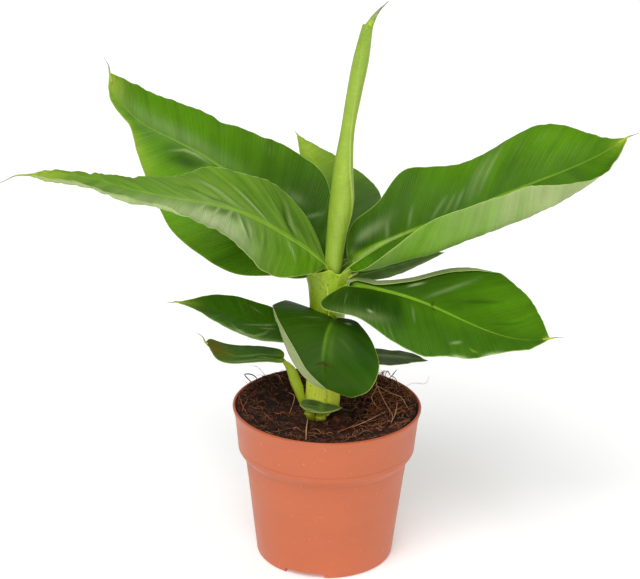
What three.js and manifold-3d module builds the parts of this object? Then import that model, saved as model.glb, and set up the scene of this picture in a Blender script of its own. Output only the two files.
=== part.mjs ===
// A young banana plant in a round nursery pot. Millimetres, +Z up, the origin at the
// centre of the flat underside of the pot, the front of the plant towards -Y.
import * as THREE from "three";
import Module from "manifold-3d";

const wasm = await Module();
wasm.setup();

// Driving sizes
const GAP = 0.3;                 // clearance between pieces that rest on each other

const POT_RIM_R = 85;            // half the width across the rim
const POT_HEIGHT = 145;
const POT_BASE_R = 61.5;
const POT_WALL = 2;
const POT_SEGMENTS = 44;
const COLLAR_R = 83.6;           // outside of the collar under the lip
const COLLAR_FOOT_R = 80.2;
const COLLAR_FOOT_Z = 104.5;
const NECK_R = 73.2;             // where the collar meets the tapering wall
const NECK_Z = 92;
const LIP_Z = 139.5;
const CORNER = 4;                // rounding at the foot of the wall

const NOTCH_COUNT = 3;           // drainage channels under the pot
const NOTCH_TURN = -107;         // direction of the first channel, degrees from +X
const NOTCH_WIDTH = 37;
const NOTCH_HEIGHT = 4.8;
const NOTCH_START = 26;          // flat pad left in the middle of the underside
const DRAIN_R = 3.5;
const DRAIN_AT = [36, 50];       // distance of the drain holes from the middle

const SOIL_FLOOR = 7.6;
const SOIL_EDGE_Z = 141.5;       // the soil is banked up against the wall of the pot
const SOIL_BANK_R = 60;          // how far in the bank reaches at nearly that height
const SOIL_BANK_Z = 139.5;
const SOIL_HOLLOW_R = 34;        // level soil round the stem
const SOIL_HOLLOW_Z = 136;
const FOOT_Z = SOIL_HOLLOW_Z + GAP; // the stem and the low leafstalk end in a flat cut here

const STEM_AXIS = [[-6, 0, 120], [-5, 0, 136], [-4, 0, 153], [-3, 0, 177], [-2, 0, 202],
  [-1.5, 0, 225], [-1.5, 0, 245], [0, 0, 256], [1, 0, 268]];
const STEM_RADII = [17.5, 17.5, 17, 16, 15, 15.5, 15.5, 17.5, 19];
const STUB_SIZES = [             // cut sheath ends at the foot of the stem
  { foot: [-10, -16, 130], head: [-12, -20, 142], radius: 3.6 },
  { foot: [-1, -17, 130], head: [-1, -21.5, 142], radius: 5 },
];

const ROLL_AXIS = [[2, 0, 268.4], [5, 0, 304], [9, 0, 335], [10, 0, 366], [13, 0, 400],
  [18, 0, 434], [23, 0, 463], [28, 0, 492]];
const ROLL_RADII = [7, 8.5, 10.5, 8.5, 6, 6.5, 6.8, 5];
const ROLL_THREAD = [[28, 0, 490], [33, 0, 499], [38, 0, 506], [41, 0, 509], [45, 0, 513]];

// Every leaf: foot = where the blade starts, length along the midrib, heading and rise in
// degrees from foot to tip, then for each half (left and right seen from the foot) its
// widths from foot to tip, its fold above the horizontal, how far it curls from midrib to
// margin, between which shares of its width it bends, and the sweep of the veins.
const SWEEP = [-0.5, 0.1, 0.3, 0.5, 0.7];
const SMALL_LEAF_THICK = 1.5;
const FOOT_ROUNDING = 0.1;       // share of the length over which a blade rounds out at its foot
const STALK_SIDES = 6;
const MIDRIB_SINK = 0.7;         // how deep the midrib lies under the blade, in its own radii
const MIDRIB_START = 0.95;       // midrib radius under the foot, as a share of the stalk's
const MIDRIB_TAPER = 0.6;        // and how much of that is gone at the tip
const THREAD_RADII = [1.1, 1, 0.7];
const THREAD_SIDES = 5;
const LEAVES = {
  leaf_right: {
    foot: [18, 1, 281], length: 264, thick: 3, rows: 22, stalk: [10, 0, 250], stalkRadius: 4.2,
    heading: [7, 3, 0, -1, 0], rise: [34, 22, 25, 24, 38], thread: [[258, 3, 400], [264, 1, 403]],
    left: { width: [13, 28, 35, 53, 50, 47, 50, 56, 57, 47, 30, 13, 0],
      fold: [65, 61, 49, 42, 20], curl: [0, -3, -26, -13, -8], sweep: [-0.3, 0.1, 0.2, 0.4, 0.7] },
    right: { width: [26, 40, 55, 68, 69, 70, 70, 70, 63, 50, 37, 16, 0],
      fold: [-38, -38, -36, -33, -36, -38, -46, -40, -28],
      curl: [61, 86, 123, 115, 114, 114, 97, 49, 10], bend: [0.38, 0.66],
      sweep: [-0.5, 0.2, 0.2, 0.1, 0.7] },
  },
  leaf_left: {
    foot: [-3, -7, 281], length: 285, thick: 3, rows: 20, stalk: [-4, -4, 250], stalkRadius: 4,
    heading: [204, 201, 199, 196, 194], rise: [47, 37, 33, 21, 14, 16, 20, 10, -4],
    thread: [[-257, -93, 384], [-264, -95, 381], [-272, -95, 377]],
    left: { width: [11, 29, 49, 59, 50, 44, 32, 34, 24, 19, 0], fold: [-24, -31, -16, -14, -15],
      curl: [-28, -9, 23, 31, 45], bend: [0.4, 0.8], sweep: [-0.3, -0.1, 0.15, 0.5, 0.7] },
    right: { width: [8, 38, 54, 50, 54, 41, 33, 23, 10, 6, 0], fold: [23, 20, 10, 13, 29],
      curl: [12, 25, 6, -16, -5], sweep: [-0.4, 0.1, 0.15, 0.5, 0.7] },
  },
  leaf_back_left: {
    foot: [-8, 9, 275], length: 271, thick: 3, rows: 20, stalk: [-4, 5, 250], stalkRadius: 4,
    heading: [155, 151, 151, 158, 159], rise: [48, 35, 23, 21, 82],
    thread: [[-203, 105, 429], [-207, 105, 436]],
    left: { width: [22, 36, 65, 74, 73, 60, 44, 26, 9, 7, 0], fold: [-38, -51, -53, -49, -39],
      sweep: [-0.6, 0, 0.35, 0.6, 0.7] },
    right: { width: [20, 35, 58, 57, 52, 45, 44, 41, 33, 19, 0], fold: [41, 34, 25, 28, 25],
      sweep: [-0.3, 0.15, 0.4, 0.5, 0.75] },
  },
  leaf_back: {
    foot: [5, 14, 276], length: 193, thick: 2.2, rows: 14, stalk: [2, 6, 250], stalkRadius: 3.6,
    heading: [90, 96, 104, 108, 109], rise: [41, 28, 18, 13, 12],
    thread: [[-35, 188, 347], [-37, 191, 350]],
    left: { width: [20, 34, 38, 33, 25, 19, 15, 10, 0], fold: [-6, -12, -14, -10, -3] },
    right: { width: [20, 34, 42, 47, 43, 30, 18, 8, 0], fold: [22, 9, 0, 2, 0],
      sweep: [-0.45, 0, 0.1, 0.5, 0.7] },
  },
  leaf_low_right: {
    foot: [17, -13, 265], length: 184, thick: 2.2, rows: 15, stalk: [2, -6, 238], stalkRadius: 4,
    heading: [-20, -15, -13, -8, 0], rise: [2, -10, -21, -15, 12],
    thread: [[197, -48, 232.5], [203, -47, 232]],
    left: { width: [13, 8, 19, 45, 58, 57, 47, 27, 0], fold: [36, 38, 36, 31, 20],
      sweep: [-0.2, 0.25, 0.35, 0.45, 0.7] },
    right: { width: [49, 37, 50, 52, 42, 34, 20, 12, 0], fold: [-4, -21, -21, -14, 0],
      curl: [-20], sweep: [-0.75, 0.2, 0.35, 0.35, 0.6] },
  },
  leaf_front: {
    foot: [5, -23, 237], length: 72, thick: 1.6, rows: 12, stalk: [-2, -8, 222], stalkRadius: 3.2,
    heading: [-105, -104, -104, -90, -62], rise: [-4, -26, -44, -62, -87],
    left: { width: [13, 25, 40, 49, 50, 45, 35, 25, 0], fold: [8, -4, -10, -12, -12],
      curl: [-20], sweep: [-0.55, 0.05, 0.3, 0.65, 0.9] },
    right: { width: [42, 49, 53, 43, 34, 26, 17, 9, 0], fold: [6, 16, 10, 0, -10],
      curl: [-10, 14, 39], sweep: [-0.6, -0.05, 0.25, 0.45, 0.5] },
  },
  leaf_low_left: {
    foot: [-25, -4, 213.5], length: 115, thick: 1.6, rows: 11, stalk: [-3, -2, 196], stalkRadius: 3,
    heading: [186, 183, 181, 180, 179], rise: [14, 18, 18, 14, 6],
    thread: [[-142, -7, 244], [-148, -8, 242]],
    left: { width: [14, 17, 23, 25, 23, 18, 10, 4, 0], fold: [-11, -14, -12, -7, 0] },
    right: { width: [15, 18, 21, 21, 21, 18, 11, 4, 0], fold: [36, 36, 33, 28, 20] },
  },
  leaf_small_left: {
    foot: [-37, -6, 191], length: 75, thick: 1.5, rows: 10, stalk: [-24, -8, 134], stalkRadius: 4,
    heading: [181, 180, 180, 177, 176], rise: [7, 3, 2, 18, 36],
    thread: [[-112, -5, 210], [-117, -6, 214]],
    left: { width: [14, 10, 9, 12, 15, 17, 14, 5, 0], fold: [-13, -13, -16, -15, -10], curl: [20] },
    right: { width: [6, 13, 17, 17, 17, 16, 15, 11, 0], fold: [10, 11, 9, 8, 9] },
  },
  leaf_low_back: {
    foot: [22, 14, 185], length: 72, thick: 1.4, rows: 10, stalk: [2, 3, 172], stalkRadius: 2.6,
    heading: [15, 12, 10], rise: [0, -8, -10],
    left: { width: [10, 14, 15, 14, 13, 14, 11, 5, 0], fold: [8] },
    right: { width: [8, 12, 17, 17, 15, 11, 7, 4, 0], fold: [-5] },
  },
  leaf_under_right: {
    foot: [21, 8, 265], length: 90, thick: 1.5, rows: 10, stalk: [6, 3, 246], stalkRadius: 3,
    heading: [25, 22, 20], rise: [5, 8, 10],
    left: { width: [10, 14, 17, 18, 18, 16, 10, 5, 0], fold: [10] },
    right: { width: [6, 10, 15, 14, 12, 9, 6, 3, 0], fold: [-10] },
  },
  leaf_base: {
    foot: [-22, -19, 153], length: 38, thick: 1.2, rows: 8, stalk: [-10, -8, 146], stalkRadius: 2,
    heading: [-25, -5, 10], rise: [0, -5, 0],
    left: { width: [4, 7, 8, 7, 6, 6, 5, 3, 0], fold: [20] },
    right: { width: [2, 4, 7, 7, 7, 6, 4, 2, 0], fold: [-20] },
  },
};

// Small helpers
const rad = (deg) => (deg * Math.PI) / 180;
const clamp01 = (v) => Math.min(1, Math.max(0, v));

// value at share t through evenly spaced stations, a smooth curve through each of them
function along(stations, t) {
  const n = stations.length;
  if (n === 1) return stations[0];
  const x = clamp01(t) * (n - 1);
  const i = Math.min(Math.floor(x), n - 2);
  const f = x - i;
  const at = (k) => (k < 0 ? 2 * stations[0] - stations[1]
    : k > n - 1 ? 2 * stations[n - 1] - stations[n - 2] : stations[k]);
  const [a, b, c, d] = [at(i - 1), at(i), at(i + 1), at(i + 2)];
  return b + 0.5 * f * (c - a + f * (2 * a - 5 * b + 4 * c - d + f * (3 * (b - c) + d - a)));
}

function direction(headingDeg, riseDeg) {
  const h = rad(headingDeg), e = rad(riseDeg);
  return new THREE.Vector3(Math.cos(h) * Math.cos(e), Math.sin(h) * Math.cos(e), Math.sin(e));
}

function toSolid(geometry) {
  const g = geometry.clone();
  for (const name of Object.keys(g.attributes)) if (name !== "position") g.deleteAttribute(name);
  const src = g.index ? g.toNonIndexed() : g;
  const pos = src.attributes.position;
  const keys = new Map();
  const points = [];
  const ids = [];
  for (let i = 0; i < pos.count; i++) {
    const p = [pos.getX(i), pos.getY(i), pos.getZ(i)];
    const key = p.map((v) => Math.round(v * 1e4)).join(",");
    if (!keys.has(key)) {
      keys.set(key, points.length / 3);
      points.push(...p);
    }
    ids.push(keys.get(key));
  }
  const tris = [];
  for (let i = 0; i < ids.length; i += 3) {
    const [a, b, c] = [ids[i], ids[i + 1], ids[i + 2]];
    if (a !== b && b !== c && c !== a) tris.push(a, b, c);
  }
  return new wasm.Manifold(new wasm.Mesh({
    numProp: 3, vertProperties: new Float32Array(points), triVerts: new Uint32Array(tris),
  }));
}

function toGeometry(solid) {
  const mesh = solid.getMesh();
  const g = new THREE.BufferGeometry();
  g.setAttribute("position", new THREE.BufferAttribute(new Float32Array(mesh.vertProperties), 3));
  g.setIndex(new THREE.BufferAttribute(new Uint32Array(mesh.triVerts), 1));
  g.computeVertexNormals();
  return g;
}

function largest(solid) {
  return solid.decompose().reduce((a, b) => (a.volume() >= b.volume() ? a : b));
}

function geometryFrom(points, faces) {
  const g = new THREE.BufferGeometry();
  const flat = new Float32Array(points.flatMap((p) => [p.x, p.y, p.z]));
  g.setAttribute("position", new THREE.BufferAttribute(flat, 3));
  g.setIndex(faces);
  return g;
}

// closed round tube through points, with a radius for each station along it; extra makes
// it larger all round, its ends too
function tube(points, radii, sides, rings, extra = 0) {
  const curve = new THREE.CatmullRomCurve3(points.map((p) => new THREE.Vector3(...p)));
  const verts = [];
  const faces = [];
  const ends = [];
  const first = curve.getTangentAt(0);
  let side = new THREE.Vector3(0, 1, 0);
  if (Math.abs(first.y) > 0.9) side = new THREE.Vector3(1, 0, 0);
  for (let k = 0; k <= rings; k++) {
    const u = k / rings;
    const t = curve.getTangent(u);
    const centre = curve.getPoint(u).addScaledVector(t, k === 0 ? -extra : k === rings ? extra : 0);
    ends.push(centre);
    side = side.clone().addScaledVector(t, -side.dot(t)).normalize();
    const other = t.clone().cross(side);
    const r = along(radii, u) + extra;
    for (let m = 0; m < sides; m++) {
      const a = (2 * Math.PI * m) / sides;
      const out = side.clone().multiplyScalar(Math.cos(a)).addScaledVector(other, Math.sin(a));
      verts.push(centre.clone().addScaledVector(out, r));
    }
  }
  for (let k = 0; k < rings; k++) {
    for (let m = 0; m < sides; m++) {
      const a = k * sides + m, b = k * sides + ((m + 1) % sides);
      faces.push(a, b, b + sides, a, b + sides, a + sides);
    }
  }
  const low = verts.length;
  verts.push(ends[0], ends[rings]);
  for (let m = 0; m < sides; m++) {
    const n = (m + 1) % sides;
    faces.push(low, n, m, low + 1, rings * sides + m, rings * sides + n);
  }
  return toSolid(geometryFrom(verts, faces));
}

// Leaves
const rowShare = (k, rows) => 0.4 * (1 - Math.cos((Math.PI * k) / rows)) / 2 + 0.6 * (k / rows);

// midrib points and the frame along it: T forward, L to the left and level, N up
function midrib(leaf, rows) {
  const FINE = 400;
  const run = [new THREE.Vector3(...leaf.foot)];
  for (let i = 0; i < FINE; i++) {
    const a = direction(along(leaf.heading, i / FINE), along(leaf.rise, i / FINE));
    const b = direction(along(leaf.heading, (i + 1) / FINE), along(leaf.rise, (i + 1) / FINE));
    run.push(run[i].clone().addScaledVector(a.add(b), (0.5 * leaf.length) / FINE));
  }
  const frames = [];
  for (let k = 0; k <= rows; k++) {
    const t = rowShare(k, rows);
    const x = t * FINE;
    const i = Math.min(Math.floor(x), FINE - 1);
    const h = rad(along(leaf.heading, t));
    const T = direction(along(leaf.heading, t), along(leaf.rise, t));
    const L = new THREE.Vector3(-Math.sin(h), Math.cos(h), 0);
    frames.push({ t, P: run[i].clone().lerp(run[i + 1], x - i), T, L, N: T.clone().cross(L) });
  }
  return frames;
}

function halfWidth(half, t) {
  const q = clamp01(t / FOOT_ROUNDING);
  return Math.max(along(half.width, t), 0) * Math.sqrt(1 - (1 - q) ** 2);
}

// the point at share a across one half, sign +1 to the left and -1 to the right
function acrossHalf(half, frame, sign, a, extra) {
  const STEPS = 40;
  const w = halfWidth(half, frame.t) + extra;
  const fold = rad(along(half.fold, frame.t));
  const curl = rad(along(half.curl ?? [0], frame.t));
  const [from, to] = half.bend ?? [0, 1];
  let x = 0, y = 0;
  for (let i = 0; i < STEPS; i++) {
    const phi = fold + curl * clamp01((((i + 0.5) / STEPS) * a - from) / (to - from));
    x += (Math.cos(phi) * a) / STEPS;
    y += (Math.sin(phi) * a) / STEPS;
  }
  const sweep = along(half.sweep ?? SWEEP, frame.t);
  return frame.P.clone().addScaledVector(frame.L, sign * x * w)
    .addScaledVector(frame.N, y * w).addScaledVector(frame.T, a * sweep * w);
}

// the blade as a thin closed shell round its middle surface; large leaves get more columns
function blade(leaf, extra) {
  const HALF = leaf.thick > SMALL_LEAF_THICK ? 4 : 3;
  const rows = leaf.rows, cols = 2 * HALF;
  const frames = midrib(leaf, rows);
  frames[0].P.addScaledVector(frames[0].T, -extra);
  frames[rows].P.addScaledVector(frames[rows].T, extra);
  const grid = frames.map((f) => {
    const row = [];
    for (let j = 0; j <= cols; j++) {
      const s = (j - HALF) / HALF;
      row.push(s < 0 ? acrossHalf(leaf.right, f, -1, -s, extra) : acrossHalf(leaf.left, f, 1, s, extra));
    }
    return row;
  });
  const half = leaf.thick / 2 + extra;
  const top = [], under = [];
  for (let k = 0; k <= rows; k++) {
    for (let j = 0; j <= cols; j++) {
      const ahead = grid[Math.min(k + 1, rows)][j].clone().sub(grid[Math.max(k - 1, 0)][j]);
      const aside = grid[k][Math.min(j + 1, cols)].clone().sub(grid[k][Math.max(j - 1, 0)]);
      const n = ahead.cross(aside);
      if (k === 0 || k === rows || n.length() < 1e-6) n.copy(frames[k].N);
      n.normalize();
      top.push(grid[k][j].clone().addScaledVector(n, half));
      under.push(grid[k][j].clone().addScaledVector(n, -half));
    }
  }
  const verts = top.concat(under);
  const base = top.length, line = cols + 1;
  const faces = [];
  const quad = (a, b, c, d) => faces.push(a, b, c, a, c, d);
  for (let k = 0; k < rows; k++) {
    for (let j = 0; j < cols; j++) {
      const a = k * line + j;
      quad(a, a + line, a + line + 1, a + 1);
      quad(base + a, base + a + 1, base + a + line + 1, base + a + line);
    }
    const r = k * line, l = k * line + cols;
    quad(r, base + r, base + r + line, r + line);
    quad(l, l + line, base + l + line, base + l);
  }
  const end = rows * line;
  for (let j = 0; j < cols; j++) {
    quad(j, j + 1, base + j + 1, base + j);
    quad(end + j, base + end + j, base + end + j + 1, end + j + 1);
  }
  return toSolid(geometryFrom(verts, faces));
}

// leafstalk from inside the stem to the foot of the blade, going on under it as the midrib
function stalk(leaf, extra) {
  const frames = midrib(leaf, 16);
  const start = new THREE.Vector3(...leaf.stalk);
  const foot = frames[0].P;
  const reach = start.distanceTo(foot) * 0.4;
  const bezier = new THREE.CubicBezierCurve3(start, start.clone().add(new THREE.Vector3(0, 0, reach)),
    foot.clone().addScaledVector(frames[0].T, -reach), foot.clone());
  const r = leaf.stalkRadius;
  const points = [0, 0.35, 0.7].map((u) => bezier.getPoint(u).toArray());
  const radii = [r, r, r];
  for (const k of [0, 3, 6, 9, 12]) {
    const thin = r * (MIDRIB_START - MIDRIB_TAPER * frames[k].t);
    points.push(frames[k].P.clone().addScaledVector(frames[k].N, -MIDRIB_SINK * thin).toArray());
    radii.push(thin);
  }
  return tube(points, radii, STALK_SIDES, 13, extra);
}

function leafSolid(leaf, extra = 0) {
  let solid = blade(leaf, extra).add(stalk(leaf, extra));
  if (leaf.thread) {
    const frames = midrib(leaf, 16);
    const tip = frames[16].P.toArray();
    const before = frames[15].P.toArray();
    solid = solid.add(tube([before, tip, ...leaf.thread], THREAD_RADII, THREAD_SIDES, 6, extra));
  }
  return solid;
}

// Pot
function lathe(profile, segments) {
  const g = new THREE.LatheGeometry(profile.map(([r, z]) => new THREE.Vector2(r, z)), segments);
  g.rotateX(Math.PI / 2);
  return toSolid(g);
}

function cylinder(r, z0, z1, x, y, sides) {
  const g = new THREE.CylinderGeometry(r, r, z1 - z0, sides);
  g.rotateX(Math.PI / 2);
  g.translate(x, y, (z0 + z1) / 2);
  return toSolid(g);
}

const outerWall = [
  [POT_BASE_R - CORNER * 0.3, 0], [POT_BASE_R + 0.5, 1.2], [POT_BASE_R + 1.2, CORNER],
  [NECK_R, NECK_Z], [COLLAR_FOOT_R - 0.8, COLLAR_FOOT_Z - 1.6], [COLLAR_FOOT_R, COLLAR_FOOT_Z],
  [COLLAR_R, LIP_Z - 1], [POT_RIM_R - 0.2, LIP_Z], [POT_RIM_R + 0.4, LIP_Z + 2],
  [POT_RIM_R + 0.4, POT_HEIGHT - 1.6], [POT_RIM_R - 0.6, POT_HEIGHT],
];
const innerWall = [
  [POT_RIM_R - 2.6, POT_HEIGHT], [COLLAR_R - POT_WALL, LIP_Z - 1],
  [COLLAR_FOOT_R - POT_WALL, COLLAR_FOOT_Z + 0.8], [NECK_R - POT_WALL, NECK_Z + 1.2],
  [POT_BASE_R + 1 - POT_WALL, CORNER + 1], [POT_BASE_R - 1 - POT_WALL, POT_WALL],
];

function makePot() {
  const closed = [[0, 0], ...outerWall, ...innerWall, [0, POT_WALL]];
  const filled = lathe([[0, 0], ...outerWall, [0, POT_HEIGHT]], POT_SEGMENTS);
  let pot = lathe(closed, POT_SEGMENTS);
  for (let k = 0; k < NOTCH_COUNT; k++) {
    const turn = rad(NOTCH_TURN + (360 / NOTCH_COUNT) * k);
    const length = POT_BASE_R + 6 - NOTCH_START;
    const roof = new THREE.BoxGeometry(length, NOTCH_WIDTH + 2 * POT_WALL, NOTCH_HEIGHT + POT_WALL);
    roof.translate(NOTCH_START - POT_WALL + length / 2, 0, (NOTCH_HEIGHT + POT_WALL) / 2);
    roof.rotateZ(turn);
    const channel = new THREE.BoxGeometry(length + 6, NOTCH_WIDTH, NOTCH_HEIGHT + 1);
    channel.translate(NOTCH_START + (length + 6) / 2, 0, (NOTCH_HEIGHT - 1) / 2);
    channel.rotateZ(turn);
    pot = pot.add(toSolid(roof).intersect(filled)).subtract(toSolid(channel));
    for (const d of DRAIN_AT) {
      pot = pot.subtract(cylinder(DRAIN_R, 1, SOIL_FLOOR, d * Math.cos(turn), d * Math.sin(turn), 12));
    }
  }
  return pot;
}

function makeSoil() {
  const inside = POT_WALL + GAP;
  return lathe([
    [0, SOIL_FLOOR], [POT_BASE_R + 1 - inside, SOIL_FLOOR],
    [NECK_R - inside - 0.1, NECK_Z + 1.2], [COLLAR_FOOT_R - inside - 0.1, COLLAR_FOOT_Z + 0.8],
    [COLLAR_R - inside - 0.1, SOIL_EDGE_Z], [SOIL_BANK_R, SOIL_BANK_Z],
    [SOIL_HOLLOW_R, SOIL_HOLLOW_Z], [0, SOIL_HOLLOW_Z],
  ], POT_SEGMENTS);
}

// Stem and rolled leaf
const belowGround = cylinder(60, 100, FOOT_Z, 0, 0, 16);

function makeStem(extra) {
  let stem = tube(STEM_AXIS, STEM_RADII, 20, 11, extra);
  for (const s of STUB_SIZES) {
    stem = stem.add(tube([s.foot, s.head], [s.radius, s.radius], 10, 1, extra));
  }
  return stem.subtract(belowGround);
}

function makeRoll(extra) {
  return tube(ROLL_AXIS, ROLL_RADII, 12, 15, extra).add(tube(ROLL_THREAD, [3, 1.8, 0.9], 6, 8, extra));
}

// The whole plant
const plant = new THREE.Group();
plant.name = "potted_banana_plant";

function place(name, solid, colour, roughness) {
  const material = new THREE.MeshStandardMaterial({ color: colour, roughness, metalness: 0 });
  material.name = name;
  const mesh = new THREE.Mesh(toGeometry(solid), material);
  mesh.name = name;
  plant.add(mesh);
}

const LEAF_COLOURS = {
  leaf_right: 0x4f9a1f, leaf_left: 0x5c9440, leaf_back_left: 0x4a9420, leaf_back: 0x5a9a1e,
  leaf_low_right: 0x2f7416, leaf_front: 0x34651c, leaf_low_left: 0x2f6a14, leaf_small_left: 0x4c6a20,
  leaf_low_back: 0x48603c, leaf_under_right: 0x4c6f3a, leaf_base: 0x4a7428,
};

place("pot", makePot(), 0xd97854, 0.5);
place("pseudostem", makeStem(0), 0xb4c93f, 0.55);
place("rolled_leaf", makeRoll(0), 0xa3c848, 0.5);

const blocked = [makeStem(GAP), makeRoll(GAP), belowGround];
for (const [name, leaf] of Object.entries(LEAVES)) {
  let solid = leafSolid(leaf);
  for (const other of blocked) solid = solid.subtract(other);
  solid = largest(solid);
  place(name, solid, LEAF_COLOURS[name], 0.45);
  blocked.push(leafSolid(leaf, GAP));
}
place("soil", makeSoil(), 0x3b241b, 0.95);

export default plant;
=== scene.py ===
import functools
import math
import random

import bmesh
import bpy
from bpy.props import FloatProperty, FloatVectorProperty, IntProperty, PointerProperty
from mathutils import Matrix, Vector, noise


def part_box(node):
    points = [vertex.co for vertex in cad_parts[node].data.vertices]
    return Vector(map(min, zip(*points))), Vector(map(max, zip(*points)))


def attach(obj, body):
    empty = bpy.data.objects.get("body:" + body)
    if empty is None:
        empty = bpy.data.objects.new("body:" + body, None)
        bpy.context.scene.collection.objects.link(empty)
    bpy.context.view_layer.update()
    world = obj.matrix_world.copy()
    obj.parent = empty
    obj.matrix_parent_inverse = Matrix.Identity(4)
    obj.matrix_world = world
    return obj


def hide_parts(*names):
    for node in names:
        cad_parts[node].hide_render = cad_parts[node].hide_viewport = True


bl_info = {
    "name": "Potted banana plant",
    "version": (1, 0, 0),
    "blender": (4, 5, 0),
    "location": "3D View > Sidebar > Plant",
    "description": "A young banana plant in a round nursery pot, built piece by piece",
    "category": "Add Mesh",
}

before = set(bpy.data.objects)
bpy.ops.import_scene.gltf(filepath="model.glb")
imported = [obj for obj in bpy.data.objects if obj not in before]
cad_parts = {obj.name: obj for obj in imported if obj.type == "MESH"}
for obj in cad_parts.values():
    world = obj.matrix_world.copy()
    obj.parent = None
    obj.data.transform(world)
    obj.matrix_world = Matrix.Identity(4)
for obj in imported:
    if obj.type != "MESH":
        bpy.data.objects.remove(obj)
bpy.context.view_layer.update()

MM = 0.001
POT_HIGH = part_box("pot")[1]
SOIL_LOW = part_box("soil")[0]


# Small helpers

def paint(code):
    """A colour written as #rrggbb, in the linear numbers that shaders use."""
    shares = [int(code[i:i + 2], 16) / 255 for i in (1, 3, 5)]
    return tuple(c / 12.92 if c <= 0.04045 else ((c + 0.055) / 1.055) ** 2.4 for c in shares)


def clamp(share):
    return min(1.0, max(0.0, share))


def ease(low, high, value):
    """0 below low, 1 above high, a soft step between."""
    share = clamp((value - low) / (high - low))
    return share * share * (3 - 2 * share)


def blend(a, b, share):
    return a + (b - a) * share


def mix(a, b, share):
    return tuple(blend(p, q, share) for p, q in zip(a, b))


def along(stations, t):
    """The value at share t through evenly spaced stations, a smooth curve through each."""
    n = len(stations)
    if n == 1:
        return stations[0]
    x = clamp(t) * (n - 1)
    i = min(int(x), n - 2)
    f = x - i

    def at(k):
        if k < 0:
            return 2 * stations[0] - stations[1]
        if k > n - 1:
            return 2 * stations[-1] - stations[-2]
        return stations[k]

    a, b, c, d = at(i - 1), at(i), at(i + 1), at(i + 2)
    return b + 0.5 * f * (c - a + f * (2 * a - 5 * b + 4 * c - d + f * (3 * (b - c) + d - a)))


def along_path(points, t):
    """The point at share t of a path, smooth through every point."""
    return Vector([along([p[axis] for p in points], t) for axis in range(3)])


def ahead_on(points, t, step=0.01):
    """Direction of a path at share t."""
    ahead = along_path(points, min(t + step, 1.0)) - along_path(points, max(t - step, 0.0))
    return ahead.normalized()


def off_line(x, y, points):
    """Distance of a point from a line of straight steps, and the share along it."""
    found = []
    for k, (a, b) in enumerate(zip(points, points[1:])):
        dx, dy = b[0] - a[0], b[1] - a[1]
        share = clamp(((x - a[0]) * dx + (y - a[1]) * dy) / (dx * dx + dy * dy))
        off = math.hypot(x - a[0] - share * dx, y - a[1] - share * dy)
        found.append((off, (k + share) / (len(points) - 1)))
    return min(found)


def direction(heading, rise):
    """Direction of a heading and a rise in degrees."""
    h, e = math.radians(heading), math.radians(rise)
    return Vector((math.cos(h) * math.cos(e), math.sin(h) * math.cos(e), math.sin(e)))


def level(turn):
    """Level direction of a turn in radians."""
    return Vector((math.cos(turn), math.sin(turn), 0))


def metres(points):
    return [Vector(p) * MM for p in points]


def layered(*names):
    """An empty bmesh and its vertex layers: places on the surface in span, else colours."""
    bm = bmesh.new()
    kinds = bm.verts.layers
    return (bm, *((kinds.float_vector if name == "span" else kinds.float_color).new(name)
                  for name in names))


def shaped_grid(bm, columns, rows, place):
    """A flat grid whose every vertex goes where place(u, v, vertex) says, u and v from 0 to 1."""
    made = bmesh.ops.create_grid(bm, x_segments=columns, y_segments=rows, size=0.5)
    for vertex in made["verts"]:
        u, v = vertex.co.x + 0.5, vertex.co.y + 0.5
        vertex.co = place(u, v, vertex)
    return made["verts"]


def close_ends(bm, verts):
    """Welds the seam of a rolled-up grid and closes its two open ends."""
    bmesh.ops.remove_doubles(bm, verts=verts, dist=1e-7)
    rims = [e for e in bm.edges if e.is_boundary]
    if rims:
        bmesh.ops.holes_fill(bm, edges=rims, sides=0)


def tube_point(points, radii, u, v):
    """A point on a round tube: u round it and v along its path."""
    ahead = ahead_on(points, v)
    side = Vector((0, 1, 0)) if abs(ahead.y) < 0.9 else Vector((1, 0, 0))
    side = (side - ahead * side.dot(ahead)).normalized()
    turn = 2 * math.pi * u
    out = side * math.cos(turn) + ahead.cross(side) * math.sin(turn)
    return along_path(points, v) + out * along(radii, v)


def add_tube(bm, points, radii, sides, rings, colour):
    """Adds a closed round tube to a bmesh, with the colour that colour(place, v) gives."""
    tube, tint = layered("tint")

    def place(u, v, vertex):
        spot = tube_point(points, radii, u, v)
        vertex[tint] = (*colour(spot, v), 1.0)
        return spot

    close_ends(tube, shaped_grid(tube, sides, rings, place))
    spare = bpy.data.meshes.new("tube")
    tube.to_mesh(spare)
    tube.free()
    bm.from_mesh(spare)
    bpy.data.meshes.remove(spare)


def new_object(name, bm):
    """Turns a bmesh into an object of the scene."""
    mesh = bpy.data.meshes.new(name)
    bm.to_mesh(mesh)
    bm.free()
    made = bpy.data.objects.new(name, mesh)
    bpy.context.scene.collection.objects.link(made)
    return made


def finish_piece(name, bm, node, *materials):
    """Turns a bmesh into a piece that stands for a node and rides with the plant."""
    piece = new_object(name, bm)
    piece.data.shade_smooth()
    for material in materials:
        piece.data.materials.append(material)
    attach(piece, "root")
    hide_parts(node)
    return piece


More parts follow.
